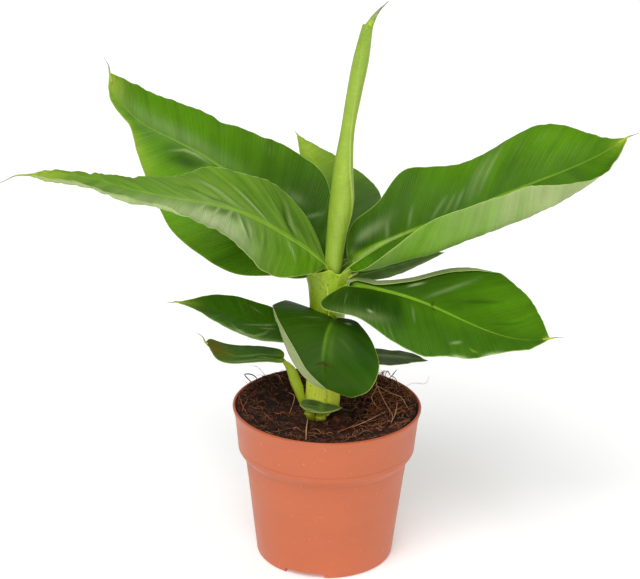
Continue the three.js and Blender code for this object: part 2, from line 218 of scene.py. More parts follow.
# Leaf sizes in millimetres and degrees.
# foot is where the blade starts, heading and rise lead its midrib from foot to tip.
# Each half, left and right as seen from the foot to the tip, has its widths from foot to tip,
# its fold above the horizontal, how far it curls from midrib to margin and between which
# shares of its width it bends, the sweep of its outline, the lean of its veins towards the
# tip, and as flap the width of a margin that has turned over.
# The leafstalk leaves the stem at the height in stalk and on the side in facing. wrap is how
# far its sheath reaches round the stem, pull how straight it leaves. A leaf with a path of its
# own has the radii and openings of its gutter along it instead.
# rib says how the midrib thins, as shares of stalk_radius. thread is the way of the dry thread
# at the tip. pleat and wave are the depths of the folds along the veins and of the waves at
# the margin.
# tones and under name the two colours of the top and of the underside, rib_tone, stalk_tone
# and stalk_edge those of the midrib and of the leafstalk.
# Spots are soft patches of another colour: colour, share from foot to tip, share across (left
# positive), their two half sizes, and strength. Lines are creases, scratches and scars: colour,
# half width, strength, how far they stand up, and their points. Some spots and lines are painted
# shade and painted sheen, glints and highlights, as noted at each leaf.
SWEEP = [-0.5, 0.1, 0.3, 0.5, 0.7]
LEAVES = {
    "leaf_right": {
        "foot": (18, 1, 281), "length": 264, "heading": [7, 3, 0, -1, 0],
        "rise": [34, 22, 25, 24, 38], "stalk": 250, "stalk_radius": 6.2, "wrap": 95,
        "facing": 0, "rib": [1.0, 0.36, 0.3, 0.26, 0.22, 0.18, 0.13, 0.08],
        "thread": [(258, 3, 400), (264, 1, 403)], "pleat": 0.7, "wave": 0.8,
        "left": {"width": [13, 28, 35, 53, 50, 47, 50, 56, 57, 47, 30, 13, 0],
                 "fold": [65, 61, 49, 42, 20], "curl": [0, -3, -26, -13, -8],
                 "sweep": [-0.3, 0.1, 0.2, 0.4, 0.7], "lean": 0.6},
        "right": {"width": [26, 40, 55, 68, 69, 70, 70, 70, 63, 50, 37, 16, 0],
                  "fold": [-38, -38, -36, -33, -36, -38, -46, -40, -28],
                  "curl": [61, 86, 123, 115, 114, 114, 97, 49, 10], "bend": (0.38, 0.66),
                  "sweep": [-0.5, 0.2, 0.2, 0.1, 0.7], "lean": 0.5},
        "tones": ("mid", "fresh"), "under": ("under_fresh", "under_pale"),
        # Painted shade: the dark spot and the shaded line at the foot. Painted sheen and glints:
        # the bloom spot and the bloom lines along the veins.
        "spots": [("dark", 0.12, 0.5, 0.16, 0.7, 0.7), ("deep", 0.42, 0.25, 0.08, 0.3, 0.5),
                  ("fresh", 0.72, 0.7, 0.16, 0.4, 0.8), ("bloom", 0.1, 0.5, 0.07, 0.15, 0.35),
                  ("deep", 0.6, 0.4, 0.06, 0.4, 0.5), ("tip", 1.0, 0.0, 0.05, 1.0, 0.9)],
        "lines": [("bloom", 1.5, 0.28, 0.4, [(0.575, 0.98), (0.515, 0.55), (0.47, 0.15)]),
                  ("bloom", 5.0, 0.2, 0.5, [(0.54, 0.95), (0.477, 0.53), (0.43, 0.1)]),
                  ("bloom", 1.4, 0.28, 0.2, [(0.43, 0.45), (0.38, 0.05)]),
                  ("bloom", 1.3, 0.25, 0.2, [(0.4, 0.4), (0.345, 0.05)]),
                  ("bloom", 1.4, 0.3, 0.2, [(0.37, 0.4), (0.3, 0.05)]),
                  ("bloom", 1.3, 0.25, 0.1, [(0.255, 0.4), (0.22, 0.05)]),
                  ("bloom", 1.6, 0.25, 0.1, [(0.17, 0.48), (0.145, 0.04)]),
                  ("shaded", 5.0, 0.7, 0.0, [(0.03, 0.8), (0.09, 0.2)]),
                  ("under_pale", 1.3, 0.6, 0.0, [(0.0, 0.0), (0.24, 0.0)])],
    },
    "leaf_left": {
        "foot": (-3, -7, 281), "length": 285, "heading": [204, 201, 199, 196, 194],
        "rise": [47, 37, 33, 21, 14, 16, 20, 10, -4], "stalk": 250,
        "stalk_radius": 3.6, "wrap": 110, "facing": 215, "pull": 0.2,
        "rib": [1.0, 0.9, 0.85, 0.7, 0.5, 0.3, 0.16, 0.08],
        "thread": [(-257, -93, 384), (-264, -95, 381), (-272, -95, 377)],
        "pleat": 1.7, "wave": 0.7,
        "left": {"width": [11, 29, 49, 59, 50, 44, 32, 34, 24, 19, 0],
                 "fold": [-24, -31, -16, -14, -15], "curl": [-28, -9, 23, 31, 45],
                 "bend": (0.4, 0.8), "sweep": [-0.3, -0.1, 0.15, 0.5, 0.7],
                 "flap": [0, 0, 0, 0, 0, 0, 3, 6, 6, 4, 0], "lean": 0.3},
        "right": {"width": [8, 38, 54, 50, 54, 41, 33, 23, 10, 6, 0],
                  "fold": [23, 20, 10, 13, 29], "curl": [12, 25, 6, -16, -5],
                  "sweep": [-0.4, 0.1, 0.15, 0.5, 0.7], "lean": 0.8},
        # Painted sheen: the sheen tone of the top, the bloom spots and the bloom and sheen lines.
        # Painted shade: the deep and dark lines that lie down in the creases and the deep spot
        # between the pleats. The pale underside lines that stand up are painted highlights on the
        # pleats.
        "tones": ("sheen", "mid"), "under": ("under_pale", "under_pale"),
        "spots": [("bloom", 0.44, 0.6, 0.11, 0.6, 0.95), ("fresh", 0.12, 0.6, 0.12, 0.6, 0.8),
                  ("deep", 0.15, -0.6, 0.12, 0.4, 0.5), ("bloom", 0.6, 0.5, 0.1, 0.4, 0.6),
                  ("under_fresh", 0.7, -0.3, 0.16, 0.8, 0.55),
                  ("deep", 0.41, 0.13, 0.08, 0.13, 0.75),
                  ("tip", 1.0, 0.0, 0.1, 1.0, 1.0)],
        "lines": [("bloom", 3.2, 0.3, 1.1, [(0.47, -0.85), (0.393, -0.45), (0.33, -0.1)]),
                  ("deep", 2.4, 0.7, -1.2, [(0.52, -0.7), (0.469, -0.45), (0.416, -0.22),
                                            (0.33, -0.08)]),
                  ("bloom", 1.3, 0.55, 0.6, [(0.34, -0.68), (0.283, -0.32), (0.235, -0.03)]),
                  ("deep", 1.8, 0.5, -0.6, [(0.33, -0.76), (0.27, -0.36), (0.225, -0.06)]),
                  ("dark", 2.0, 0.9, -1.2, [(0.19, -0.75), (0.164, -0.38), (0.135, -0.05)]),
                  ("bloom", 1.5, 0.28, 0.7, [(0.18, -0.88), (0.152, -0.42), (0.115, -0.1)]),
                  ("sheen", 2.2, 0.4, 0.6, [(0.24, -0.85), (0.2, -0.45), (0.17, -0.1)]),
                  ("under_pale", 1.2, 0.95, 0.6, [(0.455, 0.0), (0.475, 0.2), (0.5, 0.55)]),
                  ("under_pale", 1.2, 0.95, 0.6, [(0.41, 0.0), (0.43, 0.2), (0.465, 0.55)]),
                  ("under_pale", 1.2, 0.9, 0.6, [(0.37, 0.0), (0.385, 0.15), (0.41, 0.45)]),
                  ("deep", 2.2, 0.7, -0.9, [(0.343, 0.05), (0.325, 0.6)]),
                  ("bloom", 1.3, 0.9, 0.9, [(0.356, 0.05), (0.336, 0.6)]),
                  ("bloom", 1.1, 0.5, 0.4, [(0.324, 0.1), (0.316, 0.6)]),
                  ("bloom", 1.1, 0.4, 0.4, [(0.173, 0.02), (0.164, 0.4), (0.158, 0.7)]),
                  ("deep", 2.0, 0.5, -0.8, [(0.285, 0.05), (0.29, 0.6)]),
                  ("deep", 2.0, 0.5, -0.8, [(0.257, 0.05), (0.267, 0.6)]),
                  ("deep", 2.2, 0.4, -0.7, [(0.215, 0.05), (0.22, 0.6)])],
    },
    "leaf_back_left": {
        "foot": (-8, 9, 275), "length": 271, "heading": [155, 151, 151, 158, 159],
        "rise": [48, 35, 23, 21, 82], "stalk": 250, "stalk_radius": 4.0, "wrap": 95,
        "facing": 140, "rib_tone": "sheen",
        "thread": [(-203, 105, 429), (-207, 105, 436)], "pleat": 0.8, "wave": 1.9,
        "left": {"width": [22, 36, 65, 74, 73, 60, 44, 26, 9, 7, 0],
                 "fold": [-38, -51, -53, -49, -39], "sweep": [-0.6, 0, 0.35, 0.6, 0.7]},
        "right": {"width": [20, 35, 58, 57, 52, 45, 44, 41, 33, 19, 0],
                  "fold": [41, 34, 25, 28, 25], "sweep": [-0.3, 0.15, 0.4, 0.5, 0.75]},
        # Painted shade: the dark and shaded spots and the dark and shaded lines. Painted light: the
        # under_fresh spot on the left margin, where leaf_left casts its shadow, the sheen tone of
        # the midrib, the wide bloom band along the midrib and the other bloom lines.
        "tones": ("mid", "fresh"), "under": ("under_fresh", "under_pale"),
        "spots": [("dark", 0.15, -0.5, 0.24, 0.8, 0.8), ("dark", 0.58, 0.25, 0.06, 0.14, 0.8),
                  ("shaded", 0.17, -0.5, 0.12, 0.35, 0.4),
                  ("fresh", 0.6, 0.8, 0.4, 0.4, 0.9), ("fresh", 0.75, -0.6, 0.2, 0.5, 0.6),
                  ("tip", 0.72, 0.95, 0.15, 0.25, 0.35), ("under_fresh", 0.33, 0.9, 0.16, 0.4, 0.7),
                  ("deep", 0.22, 0.7, 0.06, 0.4, 0.6), ("tip", 1.0, 0.0, 0.09, 1.0, 0.95)],
        "lines": [("bloom", 9.0, 0.2, 0.0, [(1.0, -0.1), (0.81, -0.2), (0.688, -0.2),
                                             (0.546, -0.14), (0.35, -0.15)]),
                  ("dark", 5.0, 0.6, -0.5, [(0.64, 0.5), (0.56, 0.27), (0.5, 0.1)]),
                  ("bloom", 1.2, 0.55, 0.4, [(0.64, 0.3), (0.607, 0.1), (0.569, 0.06),
                                             (0.51, 0.05)]),
                  ("bloom", 5.0, 0.14, 0.0, [(0.25, -0.32), (0.18, -0.5)]),
                  ("shaded", 4.0, 0.5, -0.3, [(0.13, -0.3), (0.1, -0.75)]),
                  ("bloom", 1.4, 0.22, 0.2, [(0.155, -0.3), (0.13, -0.8)])],
    },
    "leaf_back": {
        "foot": (5, 14, 276), "length": 193, "heading": [90, 96, 104, 108, 109],
        "rise": [41, 28, 18, 13, 12], "stalk": 250, "stalk_radius": 3.6, "wrap": 90,
        "facing": 85,
        "thread": [(-35, 188, 347)], "pleat": 0.6, "wave": 0.6,
        "left": {"width": [20, 34, 38, 33, 24, 16, 10, 5, 0], "fold": [-6, -12, -14, -10, -3]},
        "right": {"width": [20, 34, 42, 47, 43, 30, 18, 8, 0], "fold": [22, 9, 0, 2, 0],
                  "sweep": [-0.45, 0, 0.1, 0.5, 0.7]},
        "tones": ("deep", "mid"), "under": ("under_fresh", "under_pale"),
        # Painted shade: the dark spot low on the right half. Painted sheen: the bloom spot.
        "spots": [("fresh", 0.85, 0.0, 0.35, 1.8, 0.9), ("tip", 1.0, 0.0, 0.36, 1.5, 0.75),
                  ("bloom", 0.2, -0.7, 0.2, 0.4, 0.15), ("dark", 0.35, -0.6, 0.25, 0.6, 0.6)],
    },
    "leaf_low_right": {
        "foot": (17, -13, 265), "length": 184, "heading": [-20, -15, -13, -8, 0],
        "rise": [2, -10, -21, -15, 12], "stalk": 232, "stalk_radius": 3.6, "wrap": 100,
        "facing": -30,
        "thread": [(197, -48, 232.5), (203, -47, 232)], "pleat": 0.6, "wave": 1.0,
        "left": {"width": [13, 8, 19, 45, 58, 57, 47, 27, 0], "fold": [36, 38, 36, 31, 20],
                 "sweep": [-0.2, 0.25, 0.35, 0.45, 0.7],
                 "flap": [5, 6, 6, 5, 2, 0, 0, 0, 0], "lean": 0.75},
        "right": {"width": [49, 37, 50, 52, 42, 34, 20, 12, 0], "fold": [-4, -21, -21, -14, 0],
                  "curl": [-20], "sweep": [-0.75, 0.2, 0.35, 0.35, 0.6]},
        "tones": ("deep", "mid"), "under": ("under_old", "under_pale"),
        # Painted shade: the dark and shaded spots and the dark bands that lie down across the
        # blade. Painted sheen and glints: the bloom lines. The short dark line across the midrib is
        # a mark, and the under_old and under_pale lines show the underside where the margin turns
        # over.
        "spots": [("dark", 0.1, -0.35, 0.14, 0.5, 0.95), ("dark", 0.04, -0.7, 0.08, 0.5, 0.9),
                  ("shaded", 0.16, -0.38, 0.08, 0.35, 1.0), ("shaded", 0.25, -0.4, 0.03, 0.35, 0.7),
                  ("fresh", 0.75, 0.6, 0.25, 0.5, 0.6),
                  ("dark", 0.3, 0.5, 0.12, 0.5, 0.6), ("fresh", 0.5, -0.1, 0.2, 0.2, 0.3),
                  ("tip", 1.0, 0.0, 0.03, 1.0, 0.8)],
        "lines": [("under_old", 4.5, 0.3, 0.0, [(0.06, -0.95), (0.158, -0.88), (0.24, -0.6)]),
                  ("dark", 1.2, 0.9, 0.0, [(0.398, 0.12), (0.431, -0.12)]),
                  ("bloom", 2.0, 0.22, 0.5, [(0.48, 0.8), (0.416, 0.4), (0.36, 0.08)]),
                  ("dark", 2.2, 0.6, -0.5, [(0.47, 0.2), (0.56, 0.42), (0.65, 0.62)]),
                  ("dark", 1.6, 0.5, -0.4, [(0.68, 0.13), (0.81, 0.54)]),
                  ("bloom", 1.2, 0.6, 0.2, [(0.26, 0.35), (0.315, 0.5)]),
                  ("bloom", 1.1, 0.6, 0.0, [(0.154, -0.69), (0.174, -0.72)]),
                  ("bloom", 1.0, 0.25, 0.0, [(0.316, -0.14), (0.33, -0.48)]),
                  ("bloom", 1.1, 0.45, 0.0, [(0.508, -0.72), (0.568, -0.6)]),
                  ("tip", 1.0, 0.4, 0.0, [(0.605, -0.72), (0.62, -0.8), (0.645, -0.83)]),
                  ("under_pale", 1.8, 1.0, 0.0, [(0.51, -1.0), (0.6, -1.0)]),
                  ("under_pale", 2.0, 1.0, 0.0, [(0.665, -1.0), (0.76, -1.0)])],
    },
    "leaf_front": {
        "foot": (5, -23, 237), "length": 72, "heading": [-105, -104, -104, -90, -62],
        "rise": [-4, -26, -44, -62, -87], "stalk": 212, "stalk_radius": 2.8,
        "wrap": 80, "facing": -100, "pleat": 0.5, "wave": 0.8, "rib_tone": "mid",
        "rib": [1.0, 0.9, 0.8, 0.7, 0.6, 0.4, 0.16, 0.1, 0.08],
        "left": {"width": [13, 25, 40, 49, 50, 45, 35, 25, 0], "fold": [8, -4, -10, -12, -12],
                 "curl": [-20], "sweep": [-0.55, 0.05, 0.3, 0.65, 0.9]},
        "right": {"width": [42, 49, 52, 42, 33, 25, 17, 9, 0], "fold": [6, 16, 10, 0, -10],
                  "curl": [-10, 10, 20], "sweep": [-0.6, -0.05, 0.25, 0.45, 0.5],
                  "flap": [0, 0, 2, 5, 10, 12, 15, 12, 0]},
        "tones": ("dark", "deep"), "under": ("under_old", "under_old"),
        # Painted shade: the deep and shaded spots on the left half. Painted highlights: the sheen
        # lines along the midrib and across the blade, and the bloom glint. The mark lines are a
        # brown scar.
        "spots": [("deep", 0.3, 0.5, 0.2, 0.3, 0.2), ("shaded", 0.3, 0.7, 0.25, 0.35, 0.8)],
        "lines": [("sheen", 1.3, 0.45, 0.0, [(0.0, -0.03), (0.3, -0.03), (0.68, -0.02)]),
                  ("mark", 0.9, 0.9, 0.0, [(0.672, -0.28), (0.694, -0.07), (0.69, 0.06),
                                           (0.665, 0.26)]),
                  ("mark", 1.0, 1.0, 0.0, [(0.694, -0.16), (0.692, 0.14)]),
                  ("sheen", 1.8, 0.14, 0.2, [(0.3, 0.18), (0.36, 0.35), (0.431, 0.53)]),
                  ("bloom", 0.9, 0.7, 0.0, [(0.118, 0.44), (0.132, 0.66)]),
                  ("sheen", 3.0, 0.16, 0.2, [(0.1, 0.12), (0.7, 0.16)])],
    },
    "leaf_low_left": {
        "foot": (-25, -4, 213.5), "length": 115, "heading": [186, 183, 181, 180, 179],
        "rise": [14, 18, 18, 14, 6],
        "stalk": 190, "stalk_radius": 2.6, "wrap": 80, "facing": 186,
        "thread": [(-138, -7, 243), (-143, -8, 243)], "pleat": 0.4, "wave": 0.4,
        "left": {"width": [14, 17, 23, 25, 23, 18, 11, 5, 0], "fold": [-11, -14, -12, -7, 0]},
        "right": {"width": [15, 18, 21, 21, 21, 18, 12, 5, 0], "fold": [36, 36, 33, 28, 20]},
        "tones": ("deep", "mid"), "under": ("under_pale", "under_pale"), "rib_tone": "mid",
        # Painted sheen: the bloom spot and the bloom lines, pale gloss streaks.
        "spots": [("bloom", 0.35, 0.95, 0.3, 0.12, 0.35), ("tip", 1.0, 0.0, 0.14, 1.0, 1.0)],
        "lines": [("bloom", 1.1, 0.5, 0.3, [(0.52, 0.6), (0.46, 0.8), (0.378, 0.92), (0.32, 0.84),
                                            (0.27, 0.56), (0.24, 0.2)]),
                  ("bloom", 1.1, 0.45, 0.2, [(0.44, 0.4), (0.32, 0.08), (0.19, -0.23)]),
                  ("bloom", 1.0, 0.4, 0.1, [(0.32, 0.3), (0.19, 0.02)]),
                  ("bloom", 2.0, 0.4, 0.0, [(0.46, 0.9), (0.39, 0.82)]),
                  ("bloom", 0.9, 0.2, 0.0, [(0.41, -0.73), (0.3, -0.5)])],
    },
    "leaf_small_left": {
        "foot": (-40.5, -6, 191.2), "length": 71.5, "heading": [181, 180, 180, 177, 176],
        "rise": [6, 3, 3, 19, 36],
        "path": [(-16, -11, 138), (-22, -12, 150), (-26.5, -11, 164), (-31.5, -9.5, 175),
                 (-37, -8, 182.5), (-40, -6.7, 186)],
        "radii": [2.6, 3.2, 4.8, 5.2, 5.0, 4.8, 3.6], "openings": [100, 90, 78, 76, 80, 82],
        "facing": -90, "stalk_radius": 3.6, "rib": [1.0, 0.4, 0.35, 0.28, 0.22, 0.18, 0.12],
        "stalk_tone": "stem", "stalk_edge": "straw",
        "thread": [(-112, -5, 210), (-117, -6, 214)], "pleat": 0.3, "wave": 0.4,
        "left": {"width": [11, 9, 10, 13, 16, 17, 13, 5, 0], "fold": [-13, -14, -16, -15, -10],
                 "curl": [20]},
        "right": {"width": [10, 15, 17, 17, 17, 16, 14, 10, 0], "fold": [10, 11, 9, 8, 9]},
        "tones": ("mid", "mid"), "under": ("grey", "grey"), "rib_tone": "mid",
        # Painted sheen: the bloom lines. Painted shade: the dark line that lies down along a
        # crease.
        "spots": [("olive", 0.88, 0.0, 0.24, 1.2, 1.0), ("grey", 0.35, 0.95, 0.35, 0.4, 0.5),
                  ("stem_green", 0.0, 0.0, 0.12, 1.2, 0.75)],
        "lines": [("bloom", 1.2, 0.32, 0.2, [(0.66, 0.2), (0.42, 0.0), (0.276, -0.17),
                                             (0.02, -0.55)]),
                  ("bloom", 2.0, 0.3, 0.0, [(0.66, 0.95), (0.4, 0.6), (0.12, 0.2)]),
                  ("dark", 1.6, 0.4, -0.2, [(0.6, 0.45), (0.15, 0.0)])],
    },
    "leaf_low_back": {
        "foot": (22, 14, 185), "length": 72, "heading": [15, 12, 10], "rise": [0, -8, -10],
        "stalk": 166, "stalk_radius": 2.4, "wrap": 80, "facing": 20, "pleat": 0.4, "wave": 0.4,
        "left": {"width": [10, 14, 15, 14, 13, 14, 11, 5, 0], "fold": [8]},
        "right": {"width": [8, 12, 17, 17, 15, 11, 7, 4, 0], "fold": [-5]},
        "tones": ("grey", "dark"), "under": ("grey", "grey"), "rib_tone": "grey",
        # Painted sheen: the bloom spot.
        "spots": [("bloom", 0.5, 0.1, 0.3, 0.2, 0.5)],
    },
    "leaf_under_right": {
        "foot": (21, 8, 265), "length": 90, "heading": [25, 22, 20], "rise": [5, 8, 10],
        "stalk": 238, "stalk_radius": 2.8, "wrap": 80, "facing": 25, "pleat": 0.4, "wave": 0.4,
        "left": {"width": [10, 14, 17, 18, 18, 16, 10, 5, 0], "fold": [10]},
        "right": {"width": [6, 10, 15, 14, 12, 9, 6, 3, 0], "fold": [-10]},
        # Painted sheen: the sheen tone of the top. Painted shade: the dark line that lies down.
        "tones": ("grey", "sheen"), "under": ("grey", "under_pale"),
        "spots": [("dark", 0.2, 0.3, 0.15, 0.4, 0.6)],
        "lines": [("under_pale", 2.0, 0.8, 0.0, [(0.2, -0.95), (0.6, -0.95), (1.0, -0.8)]),
                  ("dark", 1.2, 0.6, -0.2, [(0.1, 0.1), (0.7, 0.3)])],
    },
    "leaf_base": {
        "foot": (-24, -19, 153), "length": 38, "heading": [-25, -5, 10], "rise": [0, -5, 0],
        "path": [(-14, -12, 146), (-19, -16, 150)], "radii": [1.6, 1.5, 1.2],
        "openings": [90, 84], "facing": 240, "stalk_radius": 0.9, "pleat": 0.2, "wave": 0.6,
        "left": {"width": [4, 7, 8, 7, 6, 6, 5, 3, 0], "fold": [20]},
        "right": {"width": [2, 4, 7, 7, 7, 6, 4, 2, 0], "fold": [-20]},
        "tones": ("grey", "grey"), "under": ("under_pale", "under_pale"), "rib_tone": "grey",
        # Painted sheen: the sheen spot.
        "spots": [("dark", 0.3, 0.3, 0.15, 0.5, 0.7), ("sheen", 0.5, 0.0, 0.06, 1.0, 0.5)],
        "lines": [("under_pale", 0.9, 0.8, 0.0, [(0.1, -1.0), (0.5, -1.0), (0.8, -0.95),
                                                 (1.0, 0.0)])],
    },
}
VEIN_LEAN = 0.35
# The midrib thins from foot to tip, as shares of the leafstalk's radius
RIB_SHARES = [1.0, 0.55, 0.42, 0.33, 0.26, 0.2, 0.14, 0.08]
FOOT_ROUNDING = 0.1

STEM_AXIS = [(-6, 0, 120), (-5, 0, 136), (-4, 0, 153), (-3, 0, 177), (-2, 0, 202),
             (-1.5, 0, 225), (-1.5, 0, 245), (0, 0, 256), (1, 0, 268)]
STEM_RADII = [14.5, 15, 15.4, 15.2, 15, 15.5, 15.5, 15.5, 15.5]
# The rim in which the sheaths end, height and radius from the left round the front, the
# right and the back, every 30 degrees
RIM_HEIGHTS = [272, 274, 276, 277, 273.2, 275.5, 280, 281, 277, 272, 271, 271, 272]
RIM_RADII = [22.5, 20, 14, 10.5, 12, 16, 20, 19.5, 17, 15, 16, 19, 22.5]
# Margins of the sheaths that lap round the stem: directions from foot to top in degrees,
# and the step in millimetres
SHEATH_LAPS = [
    ([-70, -72, -75, -78, -80, -84, -90, -104, -152], 0.9),
    ([75, 72, 70, 68, 66, 64, 62, 60, 60], 0.7),
    ([-172, -172, -171, -170, -169, -168, -168, -167, -166], 0.8),
    ([150, 146, 140, 136, 130, 126, 120, 116, 112], 0.6),
]
STUBS = [
    {"foot": (-13, -12, 133), "head": (-16, -19, 145), "radius": 4.6},
    {"foot": (-5, -14, 130), "head": (-6, -20.5, 142.5), "radius": 5.4},
]
# Torn bits of old sheath on the right below the rim: points in millimetres
SCRAPS = [
    [(16, -5, 268), (21, -7, 272), (25, -8, 274.5)],
    [(15, -7, 262), (20, -9, 264), (23, -10, 261)],
    [(15, -7, 258), (19, -9, 259.5), (22.5, -10, 262.5)],
]
SCRAP_RADII = [1.6, 1.3, 0.9, 0.4]

ROLL_AXIS = [(2, 0, 262), (5, 0, 304), (9, 0, 335), (10, 0, 366), (13, 0, 400),
             (18, 0, 434), (23, 0, 463), (28, 0, 492)]
ROLL_RADII = [7, 8.5, 10.5, 8.5, 6, 6.5, 6.8, 4.6]
ROLL_THREAD = [(27.5, 0, 488), (33, 0, 499), (38, 0, 506), (41, 0, 509), (45, 0, 513)]
ROLL_THREAD_RADII = [4.2, 2.2, 1.0, 0.6, 0.35]
# The dry thread at the tip of a blade
THREAD_RADII = [1.1, 0.9, 0.4, 0.2]


# What a user would change

def length_property(name, description, default):
    return FloatProperty(name=name, description=description, default=default, unit="LENGTH",
                         subtype="DISTANCE")


def colour_property(name, description, code):
    return FloatVectorProperty(name=name, description=description, default=paint(code),
                               subtype="COLOR", size=3, min=0.0, max=1.0)


class PotSizes(bpy.types.PropertyGroup):
    """Sizes of the nursery pot."""

    rim_radius: length_property("Rim radius", "Half the width across the lip", POT_HIGH.x)
    height: length_property("Height", "From the table to the top of the rim", POT_HIGH.z)
    base_radius: length_property("Base radius", "Half the width of the foot", 61.5 * MM)
    wall: length_property("Wall", "Thickness of the moulded wall", 2.0 * MM)
    collar_height: length_property("Collar foot", "Height where the upright collar begins",
                                   104.5 * MM)
    channel_width: length_property("Channel width", "Width of each drainage channel", 37 * MM)
    channel_height: length_property("Channel height", "Height of each drainage channel", 4.8 * MM)
    channels: IntProperty(
        name="Channels", description="Number of drainage channels", default=3, min=1, max=8)


class SoilSizes(bpy.types.PropertyGroup):
    """Sizes of the peat and its coir fibres."""

    hollow_height: length_property("Hollow", "Height of the soil round the stem", 136 * MM)
    bank_height: length_property("Bank", "Height of the soil at the wall of the pot", 143.5 * MM)
    heap: length_property("Heap", "How much higher the soil lies at the back", 3.0 * MM)
    crumb_size: length_property("Crumb size", "Width of the largest loose crumbs", 3.2 * MM)
    crumbs: IntProperty(name="Crumbs", description="Number of loose crumbs", default=520, min=0)
    fibres: IntProperty(name="Fibres", description="Number of coir fibres", default=620, min=0)
    fibre_width: length_property("Fibre width", "Thickness of a coir fibre", 0.4 * MM)


class LeafSizes(bpy.types.PropertyGroup):
    """Sizes that all the leaves share."""

    thickness: length_property("Blade thickness", "Thickness of a blade", 0.45 * MM)
    vein_spacing: length_property("Vein spacing", "Distance between the fine veins", 1.9 * MM)
    rows: IntProperty(name="Rows", description="Rows of faces from foot to tip of a large blade",
                      default=200, min=20, max=400)
    columns: IntProperty(name="Columns", description="Columns of faces across a blade",
                         default=76, min=8, max=200)


class PlantColours(bpy.types.PropertyGroup):
    """Colours of the plant, its pot and the soil."""

    pot: colour_property("Pot", "Moulded terracotta colour", "#c3663f")
    # Painted shade on the underside of the collar and a painted shadow line at its foot.
    painted_collar_shade: colour_property("Pot shade", "Under the collar and in its seam", "#b5522c")
    # Painted shade along the top of the lip.
    painted_lip_shade: colour_property("Lip", "Top of the lip of the pot", "#b04a28")
    dust: colour_property("Dust", "Dust specks and scuffs on the pot", "#eab79b")
    peat: colour_property("Peat", "Damp peat", "#341c13")
    wet_peat: colour_property("Wet peat", "Dark clumps of peat", "#1b0e09")
    red_peat: colour_property("Red peat", "Reddish patches of peat", "#64361f")
    coir: colour_property("Coir", "Reddish coir fibre", "#b0603a")
    straw: colour_property("Straw", "Pale coir fibre", "#dba27a")
    # Painted shade, darkest near the foot of a leaf.
    shaded: colour_property("Shaded leaf", "Darkest parts, near the foot of a leaf", "#1c3d03")
    # The top of the small old leaves, and also painted shade in dark spots and creases.
    dark: colour_property("Dark leaf", "Top of the small old leaves", "#294704")
    # The top of the low leaves, and also painted shade in creases and down the hollow top of the
    # stem.
    deep: colour_property("Deep leaf", "Top of the low leaves", "#366104")
    mid: colour_property("Leaf", "Top of the large leaves", "#3f6c04")
    fresh: colour_property("Fresh leaf", "Brighter, younger parts", "#578a05")
    sheen: colour_property("Sheen", "Grey-green of a leaf that catches the light", "#789f30")
    # Whitish bloom, and also painted sheen and glints on the leaves.
    bloom: colour_property("Bloom", "Whitish bloom on a leaf", "#adbd88")
    grey: colour_property("Grey leaf", "Greyish green of shaded leaves", "#566a30")
    olive: colour_property("Olive", "Withering tip", "#665a04")
    mark: colour_property("Mark", "Small brown scar", "#3a2408")
    tip: colour_property("Tip", "Yellow-green leaf tip", "#a8c03a")
    rib: colour_property("Midrib", "Midrib seen from above", "#84b022")
    margin: colour_property("Margin", "Thin pale line along the edge of a leaf", "#b3c56c")
    under_fresh: colour_property("Fresh underside", "Underside of a young leaf", "#629412")
    under_old: colour_property("Old underside", "Greyish underside of an old leaf", "#8d9868")
    under_pale: colour_property("Pale underside", "Pale underside", "#a3b676")
    stem: colour_property("Stem", "Yellow-green leaf sheaths", "#a3b81c")
    stem_pale: colour_property("Pale stem", "Foot of the stem", "#eaf850")
    stem_green: colour_property("Green stem", "Greener upper sheaths", "#84a812")
    stem_stain: colour_property("Stem stain", "Faint brown stains on the stem", "#8a8a1e")
    stem_speck: colour_property("Stem speck", "Small brown specks on the stem", "#5c4a14")
    # Painted shadow beside the margin of a sheath.
    lap_shade: colour_property("Lap shade", "Beside the margin of a sheath", "#66761a")
    # Painted shade at the foot of the stumps and painted light at their top.
    shaded_stub_foot: colour_property("Stump foot", "Foot of the two stumps", "#4c4a06")
    lit_stub_head: colour_property("Stump head", "Top of the two stumps", "#aab41c")
    roll: colour_property("Rolled leaf", "The youngest leaf, still rolled up", "#9cba3c")
    thread: colour_property("Thread", "Dry thread at a leaf tip", "#8d8a72")


class StudioSettings(bpy.types.PropertyGroup):
    """Camera and light."""

    camera_lens: FloatProperty(name="Lens", description="Focal length", default=103.54,
                               unit="CAMERA")
    camera_place: FloatVectorProperty(
        name="Camera", description="Where the camera stands",
        default=(-8.1 * MM, -1524.1 * MM, 826.2 * MM), subtype="TRANSLATION", unit="LENGTH")
    camera_pitch: FloatProperty(
        name="Pitch", description="How far the camera looks down",
        default=math.radians(20.546), subtype="ANGLE", unit="ROTATION")
    camera_roll: FloatProperty(
        name="Roll", description="Turn of the camera about its own axis",
        default=math.radians(0.98), subtype="ANGLE", unit="ROTATION")
    sky: FloatProperty(name="Sky", description="Strength of the even white light", default=0.32)
    floor: FloatVectorProperty(name="Floor", description="Colour of the floor",
                               default=(0.95, 0.95, 0.95), subtype="COLOR", size=3)


class PlantSettings(bpy.types.PropertyGroup):
    """Everything that can be changed about the plant."""

    pot: PointerProperty(type=PotSizes)
    soil: PointerProperty(type=SoilSizes)
    leaf: PointerProperty(type=LeafSizes)
    colours: PointerProperty(type=PlantColours)
    studio: PointerProperty(type=StudioSettings)


def tone(name):
    return tuple(getattr(bpy.context.scene.plant.colours, name))


# Node helpers for the finishes

